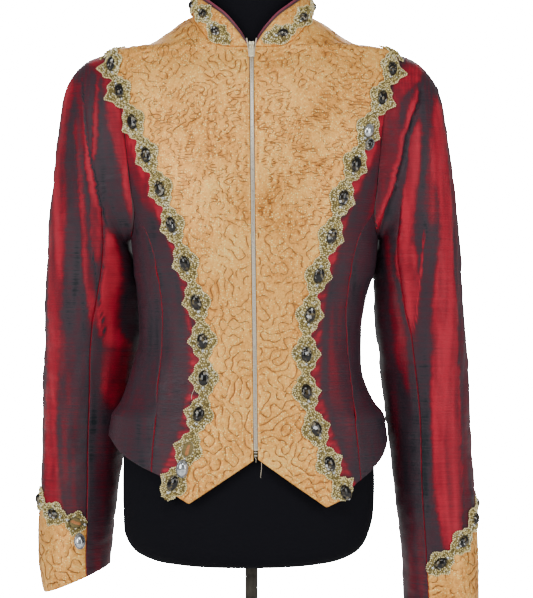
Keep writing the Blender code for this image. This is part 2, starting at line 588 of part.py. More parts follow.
def add_collar():
    rows = np.stack([collar_surface(share) for share in np.linspace(0, 1, COLLAR_ROWS)])
    outer = pulled_in(rows, COLLAR_GAP)
    across = np.gradient(outer, axis=1)
    along = np.gradient(outer, axis=0)
    facing = unit(np.cross(across, along))
    foot = outer[0]
    behind = np.abs(np.arange(len(foot)) - (len(foot) - 1) / 2) < NECK_STEPS["back"]
    angle = angle_at(JACKET, foot[:, 0], foot[:, 2], np.where(behind, -1, 1))
    facing[0] = skin_normal(JACKET, angle, foot[:, 2])
    inner = outer - CLOTH * facing
    add_wall("collar", outer, inner, "gold_cloth")
    edge = (outer[-1] + inner[-1]) / 2
    ahead = unit(np.gradient(edge, axis=0))
    up = outer[-1] - outer[-2]
    up = unit(up - ahead * np.sum(up * ahead, axis=1, keepdims=True))
    top = edge + up * (PIPING_RADIUS + PIPING_LIFT)
    line = bpy.data.curves.new("collar_piping", "CURVE")
    line.dimensions = "3D"
    line.bevel_depth = PIPING_RADIUS
    line.bevel_resolution = 1
    line.use_fill_caps = True
    spline = line.splines.new("POLY")
    spline.points.add(len(top) - 1)
    spline.points.foreach_set("co", np.column_stack([top, np.ones(len(top))]).ravel())
    add_object("collar_piping", line, "wine_piping")


# Sleeves
def armhole_points(side):
    # The armhole as points at the LOOP angles, from the underarm round the front and back again
    front, back = (skin(JACKET, half[:, 0], half[:, 1]) for half in armhole(side))
    angles = np.concatenate([LOOP, [360 - angle for angle in LOOP[-2::-1]]])
    return angles, np.concatenate([front, back[-2::-1]])


def sleeve_shape(side, angle, ring):
    # A point of the plain sleeve, with angle 0 next to the body and 90 in front
    angle, ring = np.broadcast_arrays(np.asarray(angle, float), np.asarray(ring, float))
    table = [(k, *row) for k, row in enumerate(SLEEVE[side])]

    def ellipse(at):
        inner_x, inner_z, outer_x, outer_z, middle_y, depth = (through(table, at, k) for k in range(1, 7))
        cosine, sine = np.cos(np.radians(angle)), np.sin(np.radians(angle))
        x = (inner_x + outer_x) / 2 - (outer_x - inner_x) / 2 * cosine
        z = (inner_z + outer_z) / 2 - (outer_z - inner_z) / 2 * cosine
        return np.stack([side * x, middle_y - depth * sine, z], -1)

    angles, points = armhole_points(side)
    loop = np.stack([np.interp(angle % 360, angles, points[:, k]) for k in range(3)], -1)
    keep = np.interp(ring, range(len(LOOP_DECAY) + 1), (*LOOP_DECAY, 0.0))
    return ellipse(ring) + keep[..., None] * (loop - ellipse(np.zeros_like(ring)))


def sleeve_normal(side, angle, ring):
    angle, ring = np.broadcast_arrays(np.asarray(angle, float), np.asarray(ring, float))
    small_turn, small_ring = 1.0, 0.05
    around = sleeve_shape(side, angle + small_turn, ring) - sleeve_shape(side, angle - small_turn, ring)
    along = sleeve_shape(side, angle, ring + small_ring) - sleeve_shape(side, angle, ring - small_ring)
    plain = unit(np.cross(around, along)) * -side
    points = armhole_points(side)[1]
    from_middle = unit(sleeve_shape(side, angle, ring) - points.mean(0))
    share = np.clip(1 - ring, 0, 1)[..., None]
    return unit(plain * (1 - share) + from_middle * share)


def sleeve_depth(side, angle, ring):
    # How far gathers and large folds move the cloth along its normal
    place = (angle - GATHER_ANGLE) / (360 - 2 * GATHER_ANGLE) * GATHERS
    wave = 1 - 4 * np.abs(place - np.floor(place) - 0.5)
    inside = (angle > GATHER_ANGLE - 1) & (angle < 361 - GATHER_ANGLE)
    moved = np.where(inside, -wave, 0.0) * np.interp(ring, range(len(GATHER_DEPTH)), GATHER_DEPTH)
    for fold_side, middle, at, wide, long, depth in SLEEVE_FOLDS:
        if fold_side == side:
            turn = ((angle - middle + 180) % 360 - 180) / wide
            slant = ring - at - 0.5 * turn
            moved = moved - depth * np.exp(-turn**2 - (slant / long) ** 2)
    return moved


def sleeve_rows(side, angles, rings):
    # Outer points and their normals, for rows of angles and rings
    outer, normals = [], []
    for angle, ring in zip(angles, rings):
        normal = sleeve_normal(side, angle, ring)
        point = sleeve_shape(side, angle, ring) + normal * sleeve_depth(side, angle, ring)[..., None]
        outer.append(point)
        normals.append(normal)
    return outer, normals


def add_sleeve_wall(name, side, angles, rings, finish):
    outer, normals = sleeve_rows(side, angles, rings)
    half = SEAM_GAP / 2
    for row in outer:
        row[0] += unit(row[1] - row[0]) * half
        row[-1] += unit(row[-2] - row[-1]) * half
    for edge, near, by in ((0, 1, SEAM_GAP), (-1, -2, half)):
        step = np.stack([np.interp(angles[edge], angles[near], outer[near][:, k]) for k in range(3)], -1)
        outer[edge] = outer[edge] + unit(step - outer[edge]) * by
    inner = [point - CLOTH * normal for point, normal in zip(outer, normals)]
    add_wall(name, outer, inner, finish, places=angles)


def cuff_line(side, angle):
    # The ring at which the sleeve meets its cuff, which rises to a point on the outer side
    rise = 1 - np.abs(np.asarray(angle, float) - 180) / (180 - SEAM_ANGLE)
    return CUFF_ROW[side] - CUFF_RISE[side] * rise


def add_sleeve(side, name):
    last = len(SLEEVE[side]) - 1
    loop = [angle for angle in LOOP if angle <= SEAM_ANGLE]
    under = np.array([-angle for angle in loop[:0:-1]] + loop, float)
    rings = np.arange(last + 1.0)
    rows = [(under, np.full(len(under), ring)) for ring in rings]
    add_sleeve_wall("under_sleeve_" + name, side, *zip(*rows), "red_silk")
    gathered = np.linspace(GATHER_ANGLE, 360 - GATHER_ANGLE, 2 * GATHERS + 1)
    fine = np.concatenate([[SEAM_ANGLE], gathered, [360 - SEAM_ANGLE]])
    coarse = np.concatenate([[SEAM_ANGLE], gathered[:: 2 * GATHERS // 8], [360 - SEAM_ANGLE]])
    rows = []
    for ring in rings[: CUFF_ROW[side] + 1]:
        angle = fine if ring < len(GATHER_DEPTH) - 1 else coarse
        share = np.clip((ring - CUFF_ROW[side]) / CUFF_EASE + 1, 0, 1)
        rows.append((angle, ring + (cuff_line(side, angle) - CUFF_ROW[side]) * share))
    add_sleeve_wall("top_sleeve_" + name, side, *zip(*rows), "red_silk")
    rows = []
    for ring in rings[CUFF_ROW[side] :]:
        share = (last - ring) / (last - CUFF_ROW[side])
        rows.append((coarse, ring + (cuff_line(side, coarse) - CUFF_ROW[side]) * share))
    add_sleeve_wall("cuff_" + name, side, *zip(*rows), "gold_cloth")


# Jewelled trim
def on_cloth(tree, point):
    # The nearest point of the cloth, with its direction smoothed over the faces around it
    place, direction, _, _ = tree.find_nearest(Vector(point))
    total = Vector(direction)
    for step in np.concatenate([np.eye(3), -np.eye(3)]) * SMOOTHING:
        total += tree.find_nearest(Vector(point) + Vector(step))[1]
    return np.array(place), np.array(total.normalized())


def add_trim(name, tree, line, necks, motif, lifts):
    # A strip of motifs along a line; necks are the distances along it where two motifs meet
    line = np.asarray(line, float)
    walked = np.concatenate([[0.0], np.cumsum(np.linalg.norm(np.diff(line, axis=0), axis=1))])
    places = [a + (b - a) * row[0] for a, b in zip(necks, necks[1:]) for row in motif] + [necks[-1]]
    shape = list(motif) * (len(necks) - 1) + [motif[0]]
    outer, inner = [], []
    for place, (_, half, height) in zip(places, shape):
        middle, ahead, behind = (
            np.array([np.interp(place + step, walked, line[:, k]) for k in range(3)])
            for step in (0.0, 0.004, -0.004)
        )
        middle, facing = on_cloth(tree, middle)
        sideways = unit(np.cross(ahead - behind, facing))
        lift = lifts[0] + (lifts[1] - lifts[0]) * (place / necks[-1]) ** LIFT_POWER
        low, high = [], []
        for column in TRIM_COLUMNS:
            spot, direction = on_cloth(tree, middle + sideways * column * half)
            direction = unit(direction + facing)
            stone = STONE_RAISE * height if column == 0 else 0.0
            edge = 0.6 if abs(column) == 1 else 1.0
            low.append(spot + direction * lift)
            high.append(spot + direction * (lift + TRIM_THICK * edge + stone))
        inner.append(np.array(low))
        outer.append(np.array(high))
    add_wall(name, outer, inner, "jewelled_trim", lies_on=False)


def front_trim_line(side):
    heights = rows_up(GOLD_HALF[0][0], GOLD_TOP_Z - 0.0002)
    fine = np.interp(np.linspace(0, 1, 200), np.linspace(0, 1, len(heights)), heights)
    half = through(GOLD_HALF, fine)
    place = to_skin(side, np.stack([half, fine], -1))
    return skin(JACKET, place[:, 0], place[:, 1])


def add_front_trim(side, name, tree):
    line = front_trim_line(side)
    walked = np.concatenate([[0.0], np.cumsum(np.linalg.norm(np.diff(line, axis=0), axis=1))])
    stones = np.interp(STONES[side], line[:, 2], walked)
    between = (stones[1:] + stones[:-1]) / 2
    first = max(0.002, 2 * stones[0] - between[0])
    last = min(walked[-1] - 0.002, 2 * stones[-1] - between[-1])
    add_trim("front_trim_" + name, tree, line, [first, *between, last], FRONT_MOTIF, TRIM_LIFT)


def add_collar_trim(tree):
    line = collar_surface(COLLAR_TRIM_AT)[1:-1]
    length = np.linalg.norm(np.diff(line, axis=0), axis=1).sum()
    necks = np.linspace(0.001, length - 0.001, COLLAR_MOTIFS + 1)
    add_trim("collar_trim", tree, line, necks, SMALL_MOTIF, SMALL_TRIM_LIFT)


def add_cuff_trim(side, name, tree):
    angle = np.linspace(SEAM_ANGLE, 360 - SEAM_ANGLE, 120)[::side]
    line = sleeve_shape(side, angle, cuff_line(side, angle))
    length = np.linalg.norm(np.diff(line, axis=0), axis=1).sum()
    necks = np.linspace(0.001, length - 0.001, CUFF_MOTIFS + 1)
    add_trim("cuff_trim_" + name, tree, line, necks, SMALL_MOTIF, SMALL_TRIM_LIFT)


# Zip
def zip_frame(z, lift=0.0):
    # Right, up and outward at this height of the zip, with the place as the last column
    x = float(zip_x(z))
    angle = float(angle_at(JACKET, x, z))
    outward = skin_normal(JACKET, angle, z) * (0, 1, 1)
    outward = Vector(unit(outward))
    right = Vector((1, 0, 0))
    up = outward.cross(right)
    place = Vector(skin(JACKET, angle, z)) + outward * lift
    frame = Matrix.Identity(4)
    for k, axis in enumerate((right, up, outward, place)):
        frame.col[k][:3] = axis
    return frame


def box_mesh(name, size, frame):
    # A box in a frame: its width, its length up and its thickness outward
    shape = bmesh.new()
    bmesh.ops.create_cube(shape, size=1.0, matrix=frame @ Matrix.Diagonal((*size, 1.0)))
    mesh = bpy.data.meshes.new(name)
    shape.to_mesh(mesh)
    shape.free()
    return mesh


def rod_mesh(name, radius, length, frame):
    # A rod across a frame, along its right
    shape = bmesh.new()
    turn = Matrix.Rotation(math.radians(90), 4, "Y")
    bmesh.ops.create_cone(
        shape, cap_ends=True, segments=16, radius1=radius, radius2=radius, depth=length, matrix=frame @ turn
    )
    mesh = bpy.data.meshes.new(name)
    shape.to_mesh(mesh)
    shape.free()
    return mesh


def add_boolean(target, mesh, operation):
    cutter = add_object(mesh.name, mesh, "zip_metal", CUTTERS)
    cutter.hide_render = True
    cutter.display_type = "WIRE"
    change = target.modifiers.new(operation.lower(), "BOOLEAN")
    change.operation = operation
    change.solver = "EXACT"
    change.object = cutter


def add_zip():
    half = ZIP_CHAIN_WIDTH / 2
    heights = np.linspace(ZIP_FOOT, ZIP_TOP, 22)
    x = zip_x(heights)[:, None] + np.array([-half, half])
    angle = angle_at(JACKET, x, np.repeat(heights[:, None], 2, 1))
    outer = skin(JACKET, angle, heights[:, None])
    inner = outer - CLOTH * skin_normal(JACKET, angle, heights[:, None])
    add_wall("zip_chain", outer, inner, "zip_metal", lies_on=False)
    stop = zip_frame(ZIP_FOOT - ZIP_STOP_SIZE[1] / 2 - SEAM_GAP)
    add_object("zip_stop", box_mesh("zip_stop", ZIP_STOP_SIZE, stop), "zip_metal")
    body = zip_frame(SLIDER_Z, SLIDER_LIFT + SLIDER_SIZE[2] / 2)
    slider = add_object("zip_slider", box_mesh("zip_slider", SLIDER_SIZE, body), "zip_enamel")
    rounding = slider.modifiers.new("rounding", "BEVEL")
    rounding.width = SLIDER_ROUNDING
    rounding.segments = 1
    axle = zip_frame(SLIDER_Z, AXLE_LIFT)
    add_boolean(slider, rod_mesh("crown", CROWN_RADIUS, CROWN_WIDTH, axle), "UNION")
    add_boolean(slider, rod_mesh("crown_eye", EYE_RADIUS, 2 * CROWN_WIDTH, axle), "DIFFERENCE")
    width, length, thick = PULL_SIZE
    lean = Matrix.Rotation(math.radians(-PULL_LEAN), 4, "X")
    hung = axle @ lean
    at = hung.to_translation()
    local = Matrix.Translation(-at) @ hung
    plate = local @ Matrix.Translation((0, PULL_BAR / 2 - length / 2, 0))
    pull = add_object("zip_pull", box_mesh("zip_pull", PULL_SIZE, plate), "zip_enamel")
    pull.location = at
    window = hung @ Matrix.Translation((0, -PULL_BAR / 2 - PULL_WINDOW[1] / 2, 0))
    add_boolean(pull, box_mesh("pull_window", (*PULL_WINDOW, 4 * thick), window), "DIFFERENCE")


# Dress form and its stand
def add_form():
    turn = np.arange(0, 360, 360 / FORM_SIDES)
    points, faces = [], []
    for z in FORM_LEVELS:
        ring = skin(FORM, turn, z)
        ring[:, 0] = np.clip(ring[:, 0], -ARM_PLATE_X, ARM_PLATE_X)
        points.extend(ring)
    for level in range(len(FORM_LEVELS) - 1):
        low, high = level * FORM_SIDES, (level + 1) * FORM_SIDES
        for k in range(FORM_SIDES):
            beside = (k + 1) % FORM_SIDES
            faces.append((low + k, low + beside, high + beside, high + k))
    top = (len(FORM_LEVELS) - 1) * FORM_SIDES
    faces.append(tuple(range(FORM_SIDES))[::-1])
    faces.append(tuple(range(top, top + FORM_SIDES)))
    add_mesh("form_torso", points, faces, "black_jersey")


def add_round(name, radius, low, high, sides, finish, rounding):
    shape = bmesh.new()
    middle = Matrix.Translation((0, 0, (low + high) / 2))
    bmesh.ops.create_cone(
        shape, cap_ends=True, segments=sides, radius1=radius, radius2=radius, depth=high - low, matrix=middle
    )
    if rounding:
        rim = [edge for edge in shape.edges if all(v.co.z > middle.translation.z for v in edge.verts)]
        bmesh.ops.bevel(shape, geom=rim, offset=rounding, segments=2, affect="EDGES", profile=0.5)
    mesh = bpy.data.meshes.new(name)
    shape.to_mesh(mesh)
    shape.free()
    mesh.shade_smooth()
    mesh.set_sharp_from_angle(angle=math.radians(35))
    return add_object(name, mesh, finish)


def cloth_tree():
    # Only the outer faces that a trim can lie on
    return BVHTree.FromPolygons([tuple(point) for point in cloth_points], cloth_faces)


def main():
    for old in list(bpy.context.scene.objects):
        bpy.data.objects.remove(old)
    for collection in (PARTS, CUTTERS):
        bpy.context.scene.collection.children.link(collection)
    add_form()
    add_round("stand_pole", POLE_RADIUS, BASE_HEIGHT + SEAM_GAP, FORM_FOOT - SEAM_GAP, 16, "chrome", 0)
    add_round("stand_base", BASE_RADIUS, 0.0, BASE_HEIGHT, 48, "base_steel", 0.003)
    sides = ((1, "left"), (-1, "right"))
    for side, name in sides:
        add_fronts(side, name)
        add_side(side, name)
        add_back(side, name)
        add_sleeve(side, name)
    add_collar()
    add_zip()
    tree = cloth_tree()
    for side, name in sides:
        add_front_trim(side, name, tree)
        add_cuff_trim(side, name, tree)
    add_collar_trim(tree)


main()
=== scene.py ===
# Looks for the western show jacket on its dress form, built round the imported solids.
# Metres, +Z up. The front faces -Y and the wearer's left is +X, which is side 1 in every function.
import json
import math

import bpy
import numpy as np
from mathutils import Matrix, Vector
from mathutils.bvhtree import BVHTree

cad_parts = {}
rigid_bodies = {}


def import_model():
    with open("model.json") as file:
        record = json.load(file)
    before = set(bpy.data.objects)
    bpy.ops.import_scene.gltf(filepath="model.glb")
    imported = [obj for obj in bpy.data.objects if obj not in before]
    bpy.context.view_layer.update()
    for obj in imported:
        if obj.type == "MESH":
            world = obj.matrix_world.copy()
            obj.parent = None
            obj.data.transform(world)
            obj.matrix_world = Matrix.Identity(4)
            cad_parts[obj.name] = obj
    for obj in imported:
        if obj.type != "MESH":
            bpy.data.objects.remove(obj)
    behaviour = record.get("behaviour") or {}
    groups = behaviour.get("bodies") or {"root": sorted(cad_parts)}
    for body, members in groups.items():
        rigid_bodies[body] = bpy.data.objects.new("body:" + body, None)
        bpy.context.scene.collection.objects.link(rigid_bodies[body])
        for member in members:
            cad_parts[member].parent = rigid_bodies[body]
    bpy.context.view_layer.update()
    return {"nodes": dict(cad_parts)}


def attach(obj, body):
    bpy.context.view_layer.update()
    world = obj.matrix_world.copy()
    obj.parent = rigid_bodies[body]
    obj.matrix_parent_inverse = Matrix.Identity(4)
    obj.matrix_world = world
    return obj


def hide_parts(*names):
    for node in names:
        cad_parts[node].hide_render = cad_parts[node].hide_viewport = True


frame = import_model()
sides = ((1, "left"), (-1, "right"))
coatBody, pullBody = "jacket_and_form", "zip_pull"


def unit(vectors):
    return vectors / np.maximum(np.linalg.norm(vectors, axis=-1, keepdims=True), 1e-12)


def smoothStep(low, high, value):
    t = np.clip((value - low) / (high - low), 0, 1)
    return t * t * (3 - 2 * t)


def bump(value, middle, wide):
    # A bell, 1 at the middle and gone at about twice its width
    return np.exp(-(((value - middle) / wide) ** 2))


# Curves through tables
def mm(*rows):
    # A table given in millimetres
    return (np.array(rows) / 1000).tolist()


def through(table, at, column=1):
    # Cubic pieces between the rows, with slopes held down so that the curve never swings past them
    knots = np.array([row[0] for row in table], float)
    values = np.array([row[column] for row in table], float)
    step = np.diff(knots)
    rise = np.diff(values) / step
    slope = np.concatenate([rise[:1], np.zeros(len(rise) - 1), rise[-1:]])
    same = rise[1:] * rise[:-1] > 0
    near, far = 2 * step[1:] + step[:-1], step[1:] + 2 * step[:-1]
    before, after = (np.where(same, part, 1.0) for part in (rise[:-1], rise[1:]))
    slope[1:-1] = np.where(same, (near + far) / (near / before + far / after), 0.0)
    at = np.clip(np.asarray(at, float), knots[0], knots[-1])
    i = np.clip(np.searchsorted(knots, at, side="right") - 1, 0, len(step) - 1)
    u = (at - knots[i]) / step[i]
    ends = (1 + 2 * u) * (1 - u) ** 2 * values[i] + u * u * (3 - 2 * u) * values[i + 1]
    return ends + u * (1 - u) * step[i] * ((1 - u) * slope[i] - u * slope[i + 1])


def lengthAlong(line):
    return np.concatenate([[0.0], np.cumsum(np.linalg.norm(np.diff(line, axis=0), axis=1))])


def pick(line, places, walked=None):
    # Points of a line at these distances along it
    walked = lengthAlong(line) if walked is None else walked
    return np.stack([np.interp(places, walked, line[:, k]) for k in range(line.shape[1])], -1)


def throughRows(rows, at):
    # All columns of a table by row number
    rows = [(k, *row) for k, row in enumerate(rows)]
    return np.stack([through(rows, at, column) for column in range(1, len(rows[0]))], -1)


def curveThrough(rows, count):
    # A smooth line through the rows, as so many points evenly far apart
    line = throughRows(rows, np.linspace(0, len(rows) - 1, 12 * len(rows)))
    return pick(line, np.linspace(0, lengthAlong(line)[-1], count))


def finer(line, share, straight=False):
    # The line at these shares of its row count, so that the rows keep their places
    at = share * (len(line) - 1)
    return pick(line, at, np.arange(len(line))) if straight else throughRows(line, at)


def patch(left, right, foot, top, over=None, up=None):
    # The surface between four lines that share their corners: the two lofts' sum less the corners' own
    up = (np.linspace(0, 1, len(left)) if up is None else up)[:, None, None]
    over = (np.linspace(0, 1, len(foot)) if over is None else over)[None, :, None]
    lofts = (1 - over) * left[:, None] + over * right[:, None] + (1 - up) * foot[None] + up * top[None]
    low = (1 - over) * foot[0] + over * foot[-1]
    high = (1 - over) * top[0] + over * top[-1]
    return lofts - (1 - up) * low - up * high


def crowded(count, ends=0.85):
    # Shares from 0 to 1 that crowd towards both ends, where the seams are
    t = np.linspace(0, 1, count)
    return t - ends * np.sin(2 * math.pi * t) / (2 * math.pi)


class Ripple:
    # Smooth noise: a sum of plane waves whose lengths lie in a band
    def __init__(self, seed, shortest, longest, count=36, stretch=(1.0, 1.0, 1.0)):
        draw = np.random.RandomState(seed)
        way = unit(draw.normal(size=(count, 3)))
        self.waves = way * (2 * math.pi / draw.uniform(shortest, longest, (count, 1))) / np.array(stretch)
        self.phases = draw.uniform(0, 2 * math.pi, count)

    def __call__(self, points):
        total = np.zeros(points.shape[:-1])
        for wave, phase in zip(self.waves, self.phases):
            total += np.sin(points @ wave + phase)
        return total * math.sqrt(2 / len(self.phases))


# Meshes
def makePiece(name, points, faceLists, finish, body=coatBody, replaces=(), slot=None, attributes=None, sharpAngle=50):
    # One mesh object at the origin from points and arrays of faces, riding on a body
    mesh = bpy.data.meshes.new(name)
    mesh.from_pydata(points.reshape(-1, 3).tolist(), [], [face for faces in faceLists for face in faces.tolist()])
    mesh.validate()
    for key, values in (attributes or {}).items():
        mesh.attributes.new(key, "FLOAT", "POINT").data.foreach_set("value", np.asarray(values, np.float32).ravel())
    mesh.materials.append(finishes[finish])
    mesh.shade_smooth()
    if sharpAngle:
        mesh.set_sharp_from_angle(angle=math.radians(sharpAngle))
    made = bpy.data.objects.new(name, mesh)
    bpy.context.scene.collection.objects.link(made)
    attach(made, body)
    if replaces:
        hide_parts(*replaces)
    return made


def gridFaces(rows, columns, closedColumns=False, closedRows=False):
    # Four-cornered faces of a grid of points numbered row by row
    number = np.arange(rows * columns).reshape(rows, columns)
    number = np.pad(number, ((0, int(closedRows)), (0, int(closedColumns))), mode="wrap")
    return np.stack([number[:-1, :-1], number[:-1, 1:], number[1:, 1:], number[1:, :-1]], -1).reshape(-1, 4)


cutSheets = {}


def ringFaces(rows, columns, closed=False):
    # Faces of a grid whose columns close, with lids at both ends unless its rows close too
    number = np.arange(columns)[None]
    lids = [] if closed else [number[:, ::-1], number + (rows - 1) * columns]
    return [gridFaces(rows, columns, True, closed), *lids]


def shell(name, outer, inner, finish, attributes=None, plain=None, **kept):
    # A closed wall between two grids: outer skin, inner skin and four rims, facing outwards.
    # Its flat cut is the widest row, longest column and area of the plain cloth before it creases
    rows, columns = outer.shape[:2]
    size = rows * columns
    number = np.arange(size).reshape(rows, columns)
    loop = np.concatenate([number[0, :], number[1:, -1], number[-1, -2::-1], number[-2::-1, 0]])
    rim = np.stack([loop[:-1], loop[:-1] + size, loop[1:] + size, loop[1:]], -1)
    faces = gridFaces(rows, columns)
    faces = np.concatenate([faces, faces[:, ::-1] + size, rim])
    inward = np.cross(outer[1:, :-1] - outer[:-1, :-1], outer[:-1, 1:] - outer[:-1, :-1])
    if np.sum(inward * (outer - inner)[:-1, :-1]) > 0:
        faces = faces[:, ::-1]
    both = {key: np.tile(values.ravel(), 2) for key, values in (attributes or {}).items()}
    points = np.concatenate([outer.reshape(-1, 3), inner.reshape(-1, 3)])
    makePiece(name, points, [faces], finish, attributes=both, **kept)
    if plain is not None:
        across = np.linalg.norm(np.diff(plain, axis=1), axis=2).sum(1).max()
        along = np.linalg.norm(np.diff(plain, axis=0), axis=2).sum(0).max()
        corners = np.cross(plain[1:, 1:] - plain[:-1, :-1], plain[1:, :-1] - plain[:-1, 1:])
        area = np.linalg.norm(corners, axis=2).sum() / 2
        cutSheets[name] = (round(float(across), 3), round(float(along), 3), round(float(area), 4))


def gridNormals(grid, outward):
    # Normals of a grid from its own slopes, turned to a rough outward field
    normals = unit(np.cross(np.gradient(grid, axis=1), np.gradient(grid, axis=0)))
    return normals * np.sign(np.sum(normals * outward))


def turns(count):
    return np.linspace(0, 2 * math.pi, count, endpoint=False)


def signedPower(value, power):
    return np.sign(value) * np.abs(value) ** power


def oval(turn, side, ahead, wide, long):
    return side * (np.sin(turn) * wide)[:, None] + ahead * (np.cos(turn) * long)[:, None]


def laidFlat(vectors, normals):
    # Unit vectors less the part along the normals
    return unit(vectors - normals * np.sum(vectors * normals, axis=-1, keepdims=True))


def tube(line, radius, sidesRound=8, closed=False, facing=(0.0, -1.0, 0.2), flat=1.0):
    # A tube along a line; flat squeezes it along the facing direction
    line = np.asarray(line, float)
    ahead = unit(np.roll(line, -1, 0) - np.roll(line, 1, 0) if closed else np.gradient(line, axis=0))
    across = unit(np.cross(ahead, np.broadcast_to(facing, ahead.shape)))
    up = unit(np.cross(across, ahead))
    turn = turns(sidesRound)[:, None]
    ring = across[:, None] * np.cos(turn) + up[:, None] * np.sin(turn) * flat
    points = line[:, None] + ring * np.broadcast_to(radius, (len(line),))[:, None, None]
    return points.reshape(-1, 3), ringFaces(len(line), sidesRound, closed)


class Pile:
    # Gathers points, faces and tones of many small shapes for one mesh
    def __init__(self):
        self.points, self.faces, self.tones, self.count = [], [], [], 0

    def put(self, points, faceLists, tones=0.5):
        points = points.reshape(-1, 3)
        self.faces += [faces + self.count for faces in faceLists]
        self.points.append(points)
        self.tones.append(np.broadcast_to(tones, (len(points),)))
        self.count += len(points)

    def piece(self, name, finish, **kept):
        tones = {"tone": np.concatenate(self.tones)}
        return makePiece(name, np.concatenate(self.points), self.faces, finish, attributes=tones, **kept)


# Materials
class Nodes:
    # Builds a material's nodes: add() makes one, sets its settings and joins or fills its inputs
    def __init__(self, name):
        self.material = bpy.data.materials.new(name)
        self.material.use_nodes = True
        self.tree = self.material.node_tree
        self.shader = self.tree.nodes["Principled BSDF"]

    def fill(self, node, inputs):
        for key, value in inputs.items():
            socket = node.inputs[key]
            if isinstance(value, bpy.types.NodeSocket):
                self.tree.links.new(value, socket)
            else:
                socket.default_value = value
        return node

    def add(self, kind, inputs=None, **settings):
        node = self.tree.nodes.new("ShaderNode" + kind)
        for key, value in settings.items():
            setattr(node, key, value)
        return self.fill(node, inputs or {})

    def math(self, operation, first, second=0.0, third=0.0, clamp=False):
        node = self.add("Math", {0: first, 1: second, 2: third}, operation=operation, use_clamp=clamp)
        return node.outputs[0]

    def place(self, scale):
        # Object coordinates stretched by a scale for each axis
        coordinates = self.add("TexCoord").outputs["Object"]
        return self.add("Mapping", {"Vector": coordinates, "Scale": scale}).outputs[0]

    def swing(self, value, share, base, clamp=False):
        # The base and a share of what the value is over or under a half
        return self.math("MULTIPLY_ADD", self.math("SUBTRACT", value, 0.5), share, base, clamp)

    def noise(self, scale, detail=3.0, roughness=0.55, place=(1, 1, 1)):
        inputs = {"Vector": self.place(place), "Scale": scale, "Detail": detail, "Roughness": roughness}
        return self.add("TexNoise", inputs).outputs["Fac"]

    def spots(self, scale):
        return self.add("TexVoronoi", {"Vector": self.place((1, 1, 1)), "Scale": scale}).outputs

    def attribute(self, name):
        return self.add("Attribute", attribute_name=name).outputs["Fac"]

    def ramp(self, value, stops):
        # Colours by value: rows of place and sRGB colour from 0 to 255
        node = self.add("ValToRGB", {"Fac": value})
        elements = node.color_ramp.elements
        while len(elements) < len(stops):
            elements.new(0.5)
        for element, (place, colour) in zip(elements, stops):
            element.position = place
            element.color = (*fromScreen(colour), 1.0)
        return node.outputs["Color"]

    def relief(self, height, distance):
        return self.add("Bump", {"Height": height, "Distance": distance, "Strength": 1.0}).outputs["Normal"]

    def done(self, **inputs):
        names = {"colour": "Base Color", "coat": "Coat Weight", "coatRoughness": "Coat Roughness",
                 "sheen": "Sheen Weight", "specular": "Specular IOR Level"}
        self.fill(self.shader, {names.get(key, key.capitalize()): value for key, value in inputs.items()})
        return self.material


def fromScreen(colour):
    # Linear light from a screen colour of 0 to 255
    return tuple((k / 255 / 12.92 if k < 10.3 else ((k / 255 + 0.055) / 1.055) ** 2.4) for k in colour)


silkLook = {
    "stops": ((0.0, (16, 24, 30)), (0.12, (50, 41, 49)), (0.3, (67, 32, 43)), (0.5, (104, 17, 34)),
              (0.75, (144, 17, 38)), (1.0, (174, 26, 48))),
    "threadSize": (160, 160, 2600), "threadShare": 0.2, "slubSize": (16, 16, 700), "slubShare": 0.42,
    "slubHeight": 1.4, "slubGloss": 0.16, "patchSize": 9.0, "patchShare": 0.16, "roughness": 0.4, "relief": 0.0003,
}


def makeSilk():
    # Shot silk: a crimson warp over a near-black weft, mixed by the piece's own attribute, which holds a base share
    # with painted sheen, light and shade, and by its slubs
    n = Nodes("shot_silk")
    thread = n.noise(1.0, 2.0, 0.5, silkLook["threadSize"])
    slub = n.noise(1.0, 3.0, 0.6, silkLook["slubSize"])
    cloud = n.noise(silkLook["patchSize"], 2.0)
    shotAndSheen = n.swing(slub, silkLook["slubShare"], n.attribute("shotAndSheen"))
    shotAndSheen = n.swing(thread, silkLook["threadShare"], shotAndSheen)
    shotAndSheen = n.swing(cloud, silkLook["patchShare"], shotAndSheen, True)
    height = n.math("MULTIPLY_ADD", slub, silkLook["slubHeight"], thread)
    gloss = n.math("MULTIPLY_ADD", slub, silkLook["slubGloss"], silkLook["roughness"] - silkLook["slubGloss"] / 2)
    return n.done(
        colour=n.ramp(shotAndSheen, silkLook["stops"]), roughness=gloss, normal=n.relief(height, silkLook["relief"]),
        specular=0.22,
    )


goldLook = {
    "stops": ((0.0, (146, 80, 26)), (0.3, (208, 136, 60)), (0.55, (242, 172, 84)), (0.8, (254, 196, 102)),
              (1.0, (255, 230, 140))),
    "weaveSize": 900.0, "weaveShare": 0.4, "grainSize": 460.0, "grainShare": 1.05, "glintSize": 430.0,
    "glintReach": 0.34, "glintOver": 0.62, "glintShare": 0.75, "roughness": 0.42, "grainGloss": 0.35, "relief": 0.0003,
}


